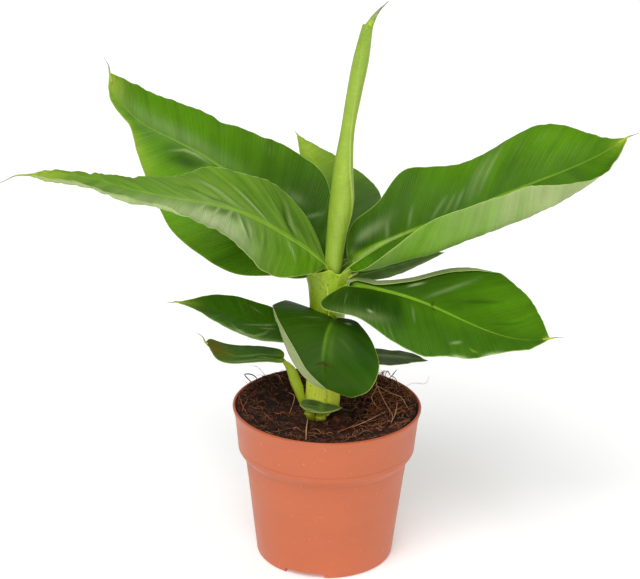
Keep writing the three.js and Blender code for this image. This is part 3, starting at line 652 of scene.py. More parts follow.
class Finish:
    """A material under construction: one shader and short calls for the usual nodes."""

    def __init__(self, name, roughness, specular=0.5):
        self.material = bpy.data.materials.new(name)
        self.material.use_nodes = True
        self.tree = self.material.node_tree
        self.shader = self.tree.nodes["Principled BSDF"]
        self.shader.inputs["Roughness"].default_value = roughness
        self.shader.inputs["Specular IOR Level"].default_value = specular

    def node(self, kind, **values):
        made = self.tree.nodes.new("ShaderNode" + kind)
        for key, value in values.items():
            setattr(made, key, value)
        return made

    def put(self, value, socket):
        if isinstance(value, bpy.types.NodeSocket):
            self.tree.links.new(value, socket)
        else:
            socket.default_value = value

    def filled(self, made, *values):
        """The first output of a node whose first inputs are given these values."""
        for value, socket in zip(values, made.inputs):
            self.put(value, socket)
        return made.outputs[0]

    def maths(self, operation, *values):
        return self.filled(self.node("Math", operation=operation), *values)

    def add(self, a, b):
        return self.maths("ADD", a, b)

    def times(self, a, b):
        return self.maths("MULTIPLY", a, b)

    def parts(self, vector):
        made = self.node("SeparateXYZ")
        self.put(vector, made.inputs[0])
        return made.outputs

    def place(self):
        return self.node("TexCoord").outputs["Object"]

    def span(self):
        """Place on a surface in millimetres, from its span attribute."""
        return self.parts(self.node("Attribute", attribute_name="span").outputs["Vector"])

    def tint(self, name="tint"):
        return self.node("Attribute", attribute_name=name).outputs["Color"]

    def noise(self, place, scale, detail=2.0, roughness=0.5, stretch=None):
        if stretch is not None:
            mapping = self.node("Mapping")
            mapping.inputs["Scale"].default_value = stretch
            self.put(place, mapping.inputs["Vector"])
            place = mapping.outputs[0]
        made = self.node("TexNoise")
        self.put(place, made.inputs["Vector"])
        made.inputs["Scale"].default_value = scale
        made.inputs["Detail"].default_value = detail
        made.inputs["Roughness"].default_value = roughness
        return made.outputs["Fac"]

    def drawn_noise(self, a, b, per_a, per_b, shift=0.0, detail=2.0, roughness=0.5):
        """Noise over two measures of a surface, drawn out by a scale for each."""
        place = self.filled(self.node("CombineXYZ"), self.times(a, per_a), self.times(b, per_b),
                            shift)
        return self.noise(place, 1.0, detail, roughness)

    def spread(self, value, low, high, to_low=0.0, to_high=1.0, kind="LINEAR"):
        made = self.node("MapRange", clamp=True, interpolation_type=kind)
        return self.filled(made, value, low, high, to_low, to_high)

    def band(self, value, stations, strength):
        """Rises to strength between the first two stations and falls between the last two."""
        low, full, fading, high = stations
        return self.times(self.spread(value, low, full, 0.0, strength),
                          self.spread(value, fading, high, 1.0, 0.0))

    def uneven(self, *patterns):
        """Sum of noises, the middle of each spread between its own two values."""
        return functools.reduce(self.add, [self.spread(pattern, 0.3, 0.7, low, high)
                                           for pattern, low, high in patterns])

    def mixed(self, share, a, b):
        made = self.node("Mix", data_type="RGBA")
        self.put(share, made.inputs[0])
        for value, socket in ((a, made.inputs[6]), (b, made.inputs[7])):
            self.put((*value, 1.0) if isinstance(value, tuple) else value, socket)
        return made.outputs[2]

    def scaled(self, colour, factor):
        made = self.node("VectorMath", operation="SCALE")
        self.put(colour, made.inputs[0])
        self.put(factor, made.inputs["Scale"])
        return made.outputs[0]

    def colour(self, value):
        self.put(value, self.shader.inputs["Base Color"])

    def rough(self, value):
        self.put(value, self.shader.inputs["Roughness"])

    def bump(self, height, depth, strength):
        made = self.node("Bump")
        made.inputs["Strength"].default_value = strength
        made.inputs["Distance"].default_value = depth
        self.put(height, made.inputs["Height"])
        self.put(made.outputs[0], self.shader.inputs["Normal"])


def leaf_finish(name, tint, roughness, contrast):
    """Skin of a blade: veins and streaks along them, painted sheen streaks, and a pale margin."""
    spacing = bpy.context.scene.plant.leaf.vein_spacing / MM
    skin = Finish(name, roughness, specular=0.1)
    across, down, edge = skin.span()
    wander = skin.times(skin.drawn_noise(down, across, 0.05, 0.03), 6.0)
    veins = skin.maths("SINE", skin.times(skin.add(down, wander), 2 * math.pi / spacing))
    streaks = skin.drawn_noise(down, across, 0.45, 0.012, detail=3.0, roughness=0.6)
    bands = skin.drawn_noise(down, across, 0.09, 0.01, shift=4.0, detail=1.0)
    mottle = skin.noise(skin.place(), 60.0, 3.0)
    light = skin.add(1.0, skin.times(veins, contrast * 0.16))
    for pattern, share in ((streaks, 1.5), (bands, 1.4), (mottle, 1.0)):
        swing = skin.times(skin.maths("SUBTRACT", pattern, 0.5), contrast * share)
        light = skin.add(light, swing)
    colour = skin.scaled(skin.tint(tint), light)
    # Painted sheen: fine pale streaks along the veins, in patches.
    fine = skin.drawn_noise(down, across, 1.1, 0.03, shift=8.0)
    where = skin.spread(skin.noise(skin.place(), 14.0), 0.52, 0.72)
    painted_sheen_streaks = skin.times(skin.spread(fine, 0.56, 0.74, 0.0, 0.4), where)
    colour = skin.mixed(painted_sheen_streaks, colour, tone("bloom"))
    rim = skin.spread(edge, 0.25, 0.75, 1.0, 0.0, kind="SMOOTHSTEP")
    skin.colour(skin.mixed(skin.times(rim, 0.75), colour, tone("margin")))
    skin.rough(skin.spread(streaks, 0.25, 0.75, roughness - 0.06, roughness + 0.08))
    skin.bump(skin.add(skin.times(veins, 0.5), streaks), 0.25 * MM, 0.6)
    return skin.material


def edge_finish():
    """The thin pale edge of a blade."""
    rim = Finish("leaf_edge", 0.5)
    rim.colour(rim.mixed(rim.noise(rim.place(), 120.0), tone("margin"), tone("under_fresh")))
    return rim.material


def stalk_finish():
    """Leafstalks, sheaths and midribs: fine ribs along them and a soft mottling."""
    stalk = Finish("leafstalk", 0.42)
    around, down, _ = stalk.span()
    ribs = stalk.drawn_noise(around, down, 1.1, 0.02)
    mottle = stalk.noise(stalk.place(), 90.0, 3.0)
    light = stalk.uneven((ribs, 0.88, 1.08), (mottle, -0.06, 0.06))
    stalk.colour(stalk.scaled(stalk.tint(), light))
    stalk.bump(ribs, 0.3 * MM, 0.5)
    return stalk.material


def stem_finish():
    """The stem: ribs up the sheaths, small brown specks and faint brown stains."""
    stem = Finish("stem_sheath", 0.4)
    around, up, _ = stem.span()
    place = stem.place()
    ribs = stem.drawn_noise(around, up, 0.9, 0.012)
    mottle = stem.noise(place, 70.0, 3.0)
    specks = stem.spread(stem.noise(place, 420.0, 1.0), 0.68, 0.74, 0.0, 0.7)
    stains = stem.spread(stem.noise(place, 45.0, 4.0, 0.65), 0.62, 0.8, 0.0, 0.35)
    light = stem.uneven((ribs, 0.86, 1.1), (mottle, -0.07, 0.07))
    colour = stem.mixed(stains, stem.scaled(stem.tint(), light), tone("stem_stain"))
    stem.colour(stem.mixed(specks, colour, tone("stem_speck")))
    stem.bump(ribs, 0.4 * MM, 0.5)
    return stem.material


def roll_finish():
    """The rolled leaf: streaks that run up it, veins round it and a soft mottling."""
    roll = Finish("rolled_blade", 0.42)
    around, up, _ = roll.span()
    streaks = roll.drawn_noise(around, up, 0.5, 0.02, detail=3.0)
    veins = roll.drawn_noise(around, up, 0.12, 0.5, detail=3.0)
    mottle = roll.noise(roll.place(), 55.0, 4.0, 0.6)
    light = roll.uneven((streaks, 0.9, 1.06), (mottle, -0.1, 0.1), (veins, -0.05, 0.05))
    roll.colour(roll.scaled(roll.tint(), light))
    roll.bump(veins, 0.3 * MM, 0.4)
    return roll.material


def thread_finish():
    """The dry threads at the leaf tips."""
    thread = Finish("leaf_thread", 0.6)
    patches = thread.noise(thread.place(), 150.0)
    thread.colour(thread.scaled(thread.tint(), thread.uneven((patches, 0.75, 1.1))))
    return thread.material


def pot_finish(pot_sizes):
    """Moulded plastic: a fine satin grain, faint flow marks, pale dust specks and scuffs, and
    painted shade under the collar and along the lip.
    """
    pot = Finish("pot_plastic", 0.42, specular=0.45)
    place = pot.place()
    height = pot.parts(place)[2]
    grain = pot.noise(place, 900.0)
    flow = pot.noise(place, 9.0, 3.0, stretch=(1.0, 1.0, 3.0))
    cloud = pot.noise(place, 30.0, 4.0, 0.6)
    specks = pot.spread(pot.noise(place, 330.0, 1.0, 0.4), 0.74, 0.8, 0.0, 0.3)
    scuffs = pot.spread(pot.noise(place, 75.0, 5.0, 0.7, stretch=(1.0, 1.0, 5.0)),
                        0.62, 0.75, 0.0, 0.16)
    light = pot.uneven((flow, 0.96, 1.03), (cloud, -0.025, 0.025))
    colour = pot.mixed(pot.add(specks, scuffs), pot.scaled(tone("pot"), light), tone("dust"))
    # Painted shade on the underside of the collar and a painted shadow line at its foot.
    below, line = ([pot_sizes.collar_height + step * MM for step in steps]
                   for steps in ((-11.5, -8.5, -2.5, 0.5), (3.3, 4.3, 4.7, 5.7)))
    shade = pot.add(pot.band(height, below, 0.1), pot.band(height, line, 0.55))
    colour = pot.mixed(shade, colour, tone("painted_collar_shade"))
    # Painted shade along the top of the lip, which is also made smoother.
    lip = pot.spread(height, pot_sizes.height - 1.6 * MM, pot_sizes.height - 0.6 * MM)
    pot.colour(pot.mixed(pot.times(lip, 0.6), colour, tone("painted_lip_shade")))
    pot.rough(pot.maths("SUBTRACT", pot.uneven((cloud, 0.36, 0.5)), pot.times(lip, 0.14)))
    pot.bump(pot.add(grain, pot.times(flow, 2.0)), 0.12 * MM, 0.35)
    return pot.material


def soil_finish():
    """Damp peat: dark clumps, reddish patches and crumbs."""
    soil = Finish("peat", 0.9, specular=0.25)
    place = soil.place()
    crumbs = soil.noise(place, 260.0, 5.0, 0.7)
    clumps = soil.noise(place, 70.0, 4.0, 0.6)
    red = soil.spread(soil.noise(place, 130.0, 4.0, 0.7), 0.5, 0.66, 0.0, 0.9)
    colour = soil.mixed(soil.spread(clumps, 0.35, 0.65), tone("wet_peat"), tone("peat"))
    colour = soil.mixed(red, colour, tone("red_peat"))
    soil.colour(soil.scaled(colour, soil.spread(crumbs, 0.25, 0.75, 0.55, 1.5)))
    soil.bump(crumbs, 1.6 * MM, 0.9)
    return soil.material


def fibre_finish():
    """Coir fibres and the tip of the rolled leaf: fine uneven streaks."""
    fibre = Finish("coir", 0.62, specular=0.3)
    streaks = fibre.noise(fibre.place(), 350.0)
    fibre.colour(fibre.scaled(fibre.tint(), fibre.uneven((streaks, 0.7, 1.25))))
    fibre.bump(streaks, 0.2 * MM, 0.5)
    return fibre.material


# Pot

def arc(centre, radius, first, last, steps):
    """Points of an arc in the (distance from the axis, height) plane, angles in degrees."""
    turns = [math.radians(blend(first, last, k / steps)) for k in range(steps + 1)]
    return [(centre[0] + radius * math.cos(a), centre[1] + radius * math.sin(a)) for a in turns]


def pot_profile(pot):
    """Section of the pot from the middle of its underside, up the outside and down inside.

    Points are distances from the axis and heights in millimetres, set off from the named sizes.
    """
    rim, top, base, wall, collar = (v / MM for v in (pot.rim_radius, pot.height, pot.base_radius,
                                                     pot.wall, pot.collar_height))
    outside = [(0, 0), (20, 0), (40, 0), (base - 3.2, 0)]
    outside += arc((base - 1.6, 2.8), 2.8, -80, -8, 6)
    outside += [(base + 3.2, 20), (base + 6.5, 48), (base + 9.6, 75)]
    outside += arc((base + 17.9, 94.4), 5.6, 172, 140, 4)
    outside += [(base + 17.2, collar - 2.6)]
    outside += arc((base + 16.7, collar + 0.6), 2.0, -52, 2, 4)
    outside += [(base + 19.9, collar + 14), (base + 21.4, top - 12), (base + 22.3, top - 7),
                (rim - 0.6, top - 4.2), (rim - 0.1, top - 2.4)]
    outside += arc((rim - 1.2, top - 1.2), 1.2, 0, 90, 5)
    inside = arc((rim - 1.5, top - 0.8), 0.8, 90, 170, 4)
    inside += [(base + 21.8 - wall, top - 8), (base + 18.7 - wall, collar + 0.8),
               (base + 12.2 - wall, 97.2), (base + 1 - wall, 6), (base - 2 - wall, 2.4),
               (base - 8, wall), (30, wall), (0, wall)]
    return [(r * MM, z * MM) for r, z in outside + inside]


class PLANT_OT_pot(bpy.types.Operator):
    """Moulded pot with its collar, lip, drainage channels and drain holes"""

    bl_idname = "plant.pot"
    bl_label = "Pot"

    ROUND = 144
    FIRST_CHANNEL = math.radians(-107)
    PAD = 26 * MM
    BELOW = 4 * MM
    CHANNEL_ROUNDING = 1.2 * MM
    HOLE_RADIUS = 3.5 * MM
    HOLES_AT = (36 * MM, 50 * MM)
    HOLE_DEPTH = (-1 * MM, 8 * MM)
    SHARP = math.radians(35)

    def execute(self, context):
        pot = context.scene.plant.pot
        bm = bmesh.new()
        profile = [bm.verts.new((r, 0, z)) for r, z in pot_profile(pot)]
        edges = [bm.edges.new(pair) for pair in zip(profile, profile[1:])]
        bmesh.ops.spin(bm, geom=profile + edges, axis=(0, 0, 1), cent=(0, 0, 0),
                       dvec=(0, 0, 0), angle=2 * math.pi, steps=self.ROUND, use_merge=True)
        bmesh.ops.remove_doubles(bm, verts=bm.verts, dist=1e-6)
        turns = [self.FIRST_CHANNEL + 2 * math.pi * k / pot.channels
                 for k in range(pot.channels)]
        for turn in turns:
            self.raise_floor(bm, pot, turn)
        bmesh.ops.recalc_face_normals(bm, faces=bm.faces)
        piece = finish_piece("pot_body", bm, "pot", pot_finish(pot))
        blocks = []
        for turn in turns:
            blocks.append(self.turned("channel", self.channel(pot), turn))
            blocks += [self.turned("drain", self.hole(reach), turn) for reach in self.HOLES_AT]
        self.cut_away(piece, blocks)
        piece.data.shade_smooth()
        piece.data.set_sharp_from_angle(angle=self.SHARP)
        return {"FINISHED"}

    def raise_floor(self, bm, pot, turn):
        """Lifts the floor inside over a channel, so that the wall keeps its thickness."""
        roof = pot.channel_height + pot.wall
        spare = 2 * MM
        for vertex in bm.verts:
            across = vertex.co.xy.length < pot.base_radius - 1 * MM
            if across and 1.5 * MM < vertex.co.z <= roof:
                out = vertex.co.dot(level(turn))
                side = abs(vertex.co.dot(level(turn + math.pi / 2)))
                if out > self.PAD - spare and side < pot.channel_width / 2 + spare:
                    vertex.co.z = roof

    def channel(self, pot):
        """A block that cuts one channel into the underside, from the pad outwards."""
        depth, width, height = pot.base_radius, pot.channel_width, pot.channel_height
        bm = bmesh.new()
        bmesh.ops.create_cube(bm, size=1.0)
        bmesh.ops.scale(bm, vec=(depth, width, height + self.BELOW), verts=bm.verts)
        bmesh.ops.translate(bm, vec=(self.PAD + depth / 2, 0, (height - self.BELOW) / 2),
                            verts=bm.verts)
        corners = [e for e in bm.edges if abs(e.verts[0].co.y - e.verts[1].co.y) < 1e-6
                   and e.verts[0].co.z > 0 and e.verts[1].co.z > 0]
        bmesh.ops.bevel(bm, geom=corners, offset=self.CHANNEL_ROUNDING, segments=3,
                        affect="EDGES", profile=0.5, material=-1)
        return bm

    def hole(self, reach):
        """A round block that cuts one drain hole through the floor."""
        low, high = self.HOLE_DEPTH
        bm = bmesh.new()
        bmesh.ops.create_cone(bm, cap_ends=True, segments=24, radius1=self.HOLE_RADIUS,
                              radius2=self.HOLE_RADIUS, depth=high - low)
        bmesh.ops.translate(bm, vec=(reach, 0, (low + high) / 2), verts=bm.verts)
        return bm

    def turned(self, name, bm, turn):
        bmesh.ops.rotate(bm, cent=(0, 0, 0), matrix=Matrix.Rotation(turn, 3, "Z"),
                         verts=bm.verts)
        return new_object(name, bm)

    def cut_away(self, piece, blocks):
        """Cuts the blocks out of the piece and takes them away."""
        for block in blocks:
            cut = piece.modifiers.new("cut", "BOOLEAN")
            cut.operation = "DIFFERENCE"
            cut.solver = "EXACT"
            cut.object = block
        bpy.context.view_layer.update()
        evaluated = piece.evaluated_get(bpy.context.evaluated_depsgraph_get())
        shaped = bpy.data.meshes.new_from_object(evaluated)
        piece.modifiers.clear()
        piece.data = shaped
        for block in blocks:
            bpy.data.objects.remove(block)


# Soil

MOUND_AT = (9 * MM, -17 * MM)
MOUND_SIZE = 9 * MM
# Inside radius of the pot at rising heights, less a small clearance, in millimetres
POT_INSIDE = [(6, 60.2), (97.2, 71.4), (105.3, 78.0), (138.5, 81.2), (150, 81.9)]


def soil_height(soil, x, y):
    """Height of the peat surface: a hollow round the stem, banks at the wall, clods."""
    reach = math.hypot(x, y) / POT_HIGH.x
    height = blend(soil.hollow_height, soil.bank_height, ease(0.38, 0.95, reach))
    height += soil.heap * ease(-0.2, 0.6, y / POT_HIGH.x) * ease(0.5, 0.95, reach)
    mound = (Vector((x, y)) - Vector(MOUND_AT)).length / MOUND_SIZE
    height += MOUND_SIZE * math.exp(-mound * mound)
    place = Vector((x, y, 0.0))
    clods = noise.noise(place * 75) * 2.4 + noise.noise(place * 190) * 1.9
    crumbs = 2.0 * (0.45 - noise.voronoi(place * 260)[0][0])
    grains = noise.noise(place * 700) * 0.7
    rough = clods * blend(0.4, 1.0, ease(0.18, 0.3, reach)) + crumbs + grains
    return height + rough * blend(1.0, 0.4, ease(0.8, 0.96, reach)) * MM


def pot_inside(height):
    for (z0, r0), (z1, r1) in zip(POT_INSIDE, POT_INSIDE[1:]):
        if height <= z1 * MM:
            break
    return blend(r0, r1, clamp((height / MM - z0) / (z1 - z0))) * MM


class PLANT_OT_soil(bpy.types.Operator):
    """Peat that fills the pot, with a rough surface banked up against the wall"""

    bl_idname = "plant.soil"
    bl_label = "Soil"

    ROUND = 260
    RINGS = 84
    TOP_SHARE = 0.8
    SEED = 41

    def execute(self, context):
        soil = context.scene.plant.soil
        wall = pot_inside(soil.bank_height)

        def place(u, v, vertex):
            turn = 2 * math.pi * u
            reach = wall * min(v / self.TOP_SHARE, 1.0)
            height = soil_height(soil, reach * math.cos(turn), reach * math.sin(turn))
            if v > self.TOP_SHARE:
                height = blend(height, SOIL_LOW.z, (v - self.TOP_SHARE) / (1 - self.TOP_SHARE))
                reach = pot_inside(height)
            return level(turn) * reach + Vector((0, 0, height))

        bm = bmesh.new()
        close_ends(bm, shaped_grid(bm, self.ROUND, self.RINGS, place))
        bmesh.ops.remove_doubles(bm, verts=bm.verts, dist=1e-6)
        bmesh.ops.recalc_face_normals(bm, faces=bm.faces)
        finish_piece("soil_peat", bm, "soil", soil_finish())
        self.loose_crumbs(soil)
        return {"FINISHED"}

    def loose_crumbs(self, soil):
        """Small lumps of peat that lie on the surface."""
        rng = random.Random(self.SEED)
        bm = bmesh.new()
        for _ in range(soil.crumbs):
            reach = POT_HIGH.x * blend(0.24, 0.93, math.sqrt(rng.random()))
            turn = rng.uniform(0, 2 * math.pi)
            x, y = reach * math.cos(turn), reach * math.sin(turn)
            size = soil.crumb_size * rng.uniform(0.3, 1.0)
            made = bmesh.ops.create_icosphere(bm, subdivisions=1, radius=size / 2)
            shift = Vector((rng.random(), rng.random(), rng.random())) * 9
            for vertex in made["verts"]:
                out = vertex.co.normalized()
                vertex.co *= 1 + 0.5 * noise.noise(out * 1.6 + shift)
            squash = Vector((rng.uniform(0.8, 1.4), rng.uniform(0.7, 1.0), 0.6))
            bmesh.ops.scale(bm, vec=squash, verts=made["verts"])
            tilt = Matrix.Rotation(rng.uniform(0, 6.28), 3, "Z")
            bmesh.ops.rotate(bm, cent=(0, 0, 0), matrix=tilt, verts=made["verts"])
            height = soil_height(soil, x, y) + 0.2 * size
            bmesh.ops.translate(bm, vec=(x, y, height), verts=made["verts"])
        finish_piece("soil_crumbs", bm, "soil", bpy.data.materials["peat"])


# Coir fibres that show one by one in the pot: points in millimetres, width, and colour.
# Heights are above the soil.
PLACED_FIBRES = [
    ("dark", 1.1, [(-69, 44, -2), (-71, 46, -1), (-77, 50, 3.5), (-73, 48, 5.5), (-69, 48, 4.5),
                   (-66, 50, 1), (-65, 50, -2)]),
    ("coir", 0.45, [(-57, 57, -2), (-60, 59, 1), (-66, 62, 7), (-73, 62, 7.5)]),
    ("straw", 0.55, [(-35, 34, 2), (-30, 26, 4), (-31, 9, 4), (-34, -2, 1)]),
    ("coir", 0.6, [(-80, 12, 1), (-76, -11, 3), (-71, -24, 1)]),
    ("coir", 0.5, [(-72, 7, 1), (-75, -11, 3), (-76, -18, 1)]),
    ("coir", 0.8, [(-50, 58, 2), (-45, 50, 4), (-41, 43, 3)]),
    ("coir", 0.6, [(-57, -12, 2), (-50, -28, 1)]),
    ("pale", 0.9, [(-17, -15, 1), (-18, -57, 5), (-18, -79, 3)]),
    ("dark", 1.0, [(58, 58, -1), (61, 60, 1.5), (65, 63, 5.5)]),
    ("straw", 0.4, [(72, 40, 0), (80, 40, 2.5), (89, 38, 3.5), (93, 41, 5), (94, 45, 9)]),
    ("pale", 0.7, [(46, 37, 3), (44, 31, 5), (41, 21, 4), (47, 0, 1)]),
    ("pale", 0.75, [(46, 37, 4), (59, 19, 6), (67, 8, 5), (73, -8, 2)]),
    ("straw", 0.8, [(45, 44, 4), (47, 34, 4), (54, 7, 3), (59, -16, 2), (57, -36, 1)]),
    ("straw", 0.8, [(64, 7, 2), (61, -20, 4), (57, -39, 2)]),
    ("straw", 0.8, [(59, 55, 4), (63, 46, 5), (67, 37, 1)]),
    ("coir", 0.7, [(54, 60, -1), (56, 61, 5), (59, 62, 1)]),
    ("coir", 0.6, [(50, 62, -1), (55, 63, 4.5), (60, 58, 1)]),
    ("straw", 0.7, [(22, -38, 2), (36, -30, 4), (51, -12, 3)]),
    ("coir", 0.8, [(9, -52, 2), (22, -38, 3), (30, -22, 2)]),
]
# Where loose fibres stand up beside the rim: degrees round the pot and their spread, how
# many, and their height in millimetres.
TUFTS = [(48, 6, 34, 7.5), (118, 20, 26, 4.5), (150, 10, 12, 4.0), (5, 22, 12, 3.0)]


class PLANT_OT_fibres(bpy.types.Operator):
    """Coir fibres in the soil, some of them standing up and over the rim"""

    bl_idname = "plant.fibres"
    bl_label = "Coir fibres"

    SEED = 7
    WALL = POT_HIGH.x * 0.94
    RISES = (-0.2, 0.4, 0.8, 1.0, 0.6)

    def execute(self, context):
        soil = context.scene.plant.soil
        rng = random.Random(self.SEED)
        bm, _ = layered("tint")
        shades = {"dark": tone("peat"), "coir": tone("coir"), "straw": tone("straw"),
                  "pale": mix(tone("straw"), tone("margin"), 0.15)}
        for shade, width, points in PLACED_FIBRES:
            path = [Vector((x * MM, y * MM, soil_height(soil, x * MM, y * MM) + z * MM))
                    for x, y, z in points]
            self.add_fibre(bm, path, width * MM, shades[shade], 14)
        for _ in range(soil.fibres):
            self.add_lying(bm, soil, rng)
        for turn, spread, count, height in TUFTS:
            for _ in range(count):
                self.add_standing(bm, soil, rng, math.radians(rng.gauss(turn, spread)), height)
        finish_piece("soil_fibres", bm, "soil", fibre_finish())
        return {"FINISHED"}

    def add_lying(self, bm, soil, rng):
        """A fibre that lies on the soil, half of them gathered on the right."""
        reach = POT_HIGH.x * blend(0.26, 0.93, math.sqrt(rng.random()))
        turn = rng.uniform(0, 2 * math.pi)
        gathered = rng.random() < 0.5
        if gathered:
            turn = rng.gauss(math.radians(15), 0.6)
        place = level(turn) * reach
        heading = rng.uniform(0, 2 * math.pi)
        bend = rng.uniform(-1.3, 1.3)
        length = rng.uniform(4, 22) * MM
        steps = 5
        points = []
        for k in range(steps):
            lift = math.sin(math.pi * k / (steps - 1)) * rng.uniform(0.2, 2.2) * MM
            ground = soil_height(soil, place.x, place.y)
            points.append(place + Vector((0, 0, ground + lift + 0.1 * MM)))
            heading += bend / steps + rng.uniform(-0.35, 0.35)
            place += level(heading) * length / steps
            if place.length > self.WALL:
                place *= self.WALL / place.length
        shade = mix(tone("coir"), tone("straw"), clamp(rng.gauss(0.2, 0.25)))
        shade = mix(shade, tone("peat"), rng.uniform(0.0, 0.4 if gathered else 0.75))
        self.add_fibre(bm, points, soil.fibre_width * rng.uniform(0.5, 1.3), shade, 8)

    def add_standing(self, bm, soil, rng, turn, height):
        """A short fibre that stands up in a tuft beside the rim."""
        place = level(turn) * (POT_HIGH.x * rng.uniform(0.86, 0.94))
        ground = soil_height(soil, place.x, place.y)
        heading = rng.uniform(0, 2 * math.pi)
        top = height * rng.uniform(0.3, 1.0) * MM
        points = []
        for rise in self.RISES:
            points.append(place + Vector((0, 0, ground + rise * top)))
            heading += rng.uniform(-0.9, 0.9)
            place += level(heading) * rng.uniform(0.6, 2.6) * MM
        shade = mix(tone("coir"), tone("straw"), clamp(rng.gauss(0.1, 0.2)))
        shade = mix(shade, tone("peat"), rng.uniform(0.1, 0.7))
        self.add_fibre(bm, points, soil.fibre_width * rng.uniform(0.5, 1.2), shade, 8)

    def add_fibre(self, bm, points, width, shade, rings):
        radii = [share * width for share in (0.3, 0.5, 0.5, 0.25)]
        add_tube(bm, points, radii, 5, rings, lambda *_: shade)


# Stem and rolled leaf

def ring_noise(turn, share, per_round, per_length):
    """Smooth noise over a round stem."""
    return noise.noise(level(turn) * per_round + Vector((0, 0, share * per_length)))


class PLANT_OT_stem(bpy.types.Operator):
    """The stem of lapped leaf sheaths, open at the top, with two stumps at its foot"""

    bl_idname = "plant.stem"
    bl_label = "Stem"

    ROUND = 180
    RINGS = 170
    FOOT_SHARE = 0.1
    WALL_SHARE = 0.88
    # Steps over the rim, then the foot of the funnel: change of radius, or radius, and height
    LIP_SHARE = 0.4
    LIP = [(0.0, 0.0), (-0.5, 0.25), (-1.0, 0.05), (-1.5, -0.6)]
    FUNNEL_FOOT = (6.5, 269)
    STUB_ROUNDING = 2.2
    STUB_PALING = (134.5, 142)

    def execute(self, context):
        bm, tint, span = layered("tint", "span")

        def place(u, v, vertex):
            turn = 2 * math.pi * u
            if v <= self.WALL_SHARE:
                share = blend(self.FOOT_SHARE, 1.0, v / self.WALL_SHARE)
                centre, radius = self.wall(turn, share)
                colour = self.colour(turn, share)
            else:
                deep = (v - self.WALL_SHARE) / (1 - self.WALL_SHARE)
                centre, radius = self.funnel(turn, deep)
                # Painted shade: darker green down the hollow inside.
                colour = mix(tone("stem"), tone("deep"), ease(0.05, 0.6, deep))
            vertex[span] = (radius * turn, centre.z, 0)
            vertex[tint] = (*colour, 1.0)
            return (centre + level(turn) * radius) * MM

        close_ends(bm, shaped_grid(bm, self.ROUND, self.RINGS, place))
        finish_piece("stem_sheaths", bm, "pseudostem", stem_finish())
        self.stubs()
        self.scraps()
        return {"FINISHED"}

    def wall(self, turn, share):
        """Centre and radius of the outside, which flares into the uneven rim."""
        round_share = (math.degrees(turn) + 180) % 360 / 360
        rim_height = along(RIM_HEIGHTS, round_share)
        rim_radius = along(RIM_RADII, round_share)
        centre = along_path(STEM_AXIS, share)
        flare = ease(0.7, 1.06, share) / ease(0.7, 1.06, 1.0)
        centre.z += (rim_height - STEM_AXIS[-1][2]) * ease(0.6, 1.0, share)
        radius = blend(along(STEM_RADII, share), rim_radius, flare)
        radius += self.laps(math.degrees(turn), share)
        lumps = ring_noise(turn, share, 3, 12) * blend(0.3, 1.1, ease(0.78, 0.96, share))
        return centre, radius + lumps

    def funnel(self, turn, deep):
        """Centre and radius over the rim and down the hollow inside."""
        centre, radius = self.wall(turn, 1.0)
        steps = len(self.LIP) - 1
        way = min(deep / self.LIP_SHARE, 1.0) * steps
        i = min(int(way), steps - 1)
        inward, rise = mix(self.LIP[i], self.LIP[i + 1], way - i)
        down = max(deep - self.LIP_SHARE, 0.0) / (1 - self.LIP_SHARE)
        foot_radius, foot_height = self.FUNNEL_FOOT
        centre.z = blend(centre.z + rise, foot_height, down)
        return centre, blend(radius + inward, foot_radius, down)

    def laps(self, turn, share):
        """Each sheath is thickest at its lapping margin and thins all the way round."""
        rise = -1.2
        for turns, step in SHEATH_LAPS:
            behind = (turn - along(turns, share)) % 360
            rise += step * (1 - behind / 360) * ease(0, 4, behind)
        return rise

    def colour(self, turn, share):
        """Pale at the foot, greener higher up, with a pale margin and a painted shadow line at each
        lap, and a pale band at the rim that is partly the pale sheath edge and partly a painted
        highlight.
        """
        colour = mix(tone("stem"), tone("stem_pale"), ease(0.6, 0.2, share))
        shade = 0.5 + 0.5 * ring_noise(turn, share, 2, 5)
        colour = mix(colour, tone("stem_green"), (0.4 + 0.5 * shade) * ease(0.3, 0.8, share))
        for turns, _ in SHEATH_LAPS:
            behind = (math.degrees(turn) - along(turns, share)) % 360
            colour = mix(colour, tone("stem_pale"), 0.6 * ease(6, 3, behind))
            # Painted shadow at the foot of each lapping margin.
            colour = mix(colour, tone("lap_shade"), 0.5 * ease(355, 359, behind))
        # A pale band at the rim: the pale edge of the sheaths and a painted highlight.
        return mix(colour, tone("stem_pale"), 0.3 * ease(0.985, 1.0, share))

    def stubs(self):
        """Stumps of the oldest sheaths: short rounds, darker at the foot with painted shade and
        paler at the top with painted light.
        """
        bm, tint, span = layered("tint", "span")
        for stub in STUBS:
            foot, head, radius = Vector(stub["foot"]), Vector(stub["head"]), stub["radius"]
            made = bmesh.ops.create_cone(bm, cap_ends=True, segments=28, depth=1.0,
                                         radius1=radius * 1.08, radius2=radius * 0.92)
            turn = (head - foot).to_track_quat("Z", "Y").to_matrix()
            bmesh.ops.scale(bm, vec=(1, 0.8, (head - foot).length), verts=made["verts"])
            bmesh.ops.rotate(bm, cent=(0, 0, 0), matrix=turn, verts=made["verts"])
            bmesh.ops.translate(bm, vec=(foot + head) / 2, verts=made["verts"])
        rims = [e for e in bm.edges if e.calc_face_angle(0) > 0.6]
        bmesh.ops.bevel(bm, geom=rims, offset=self.STUB_ROUNDING, segments=5, affect="EDGES",
                        profile=0.5, material=-1)
        for vertex in bm.verts:
            vertex[span] = (vertex.co.x, vertex.co.z, 0)
            # Painted shade at the foot and painted light at the top.
            share = ease(*self.STUB_PALING, vertex.co.z)
            vertex[tint] = (*mix(tone("shaded_stub_foot"), tone("lit_stub_head"), share), 1.0)
        bmesh.ops.scale(bm, vec=(MM, MM, MM), verts=bm.verts)
        finish_piece("stem_stubs", bm, "pseudostem", bpy.data.materials["stem_sheath"])

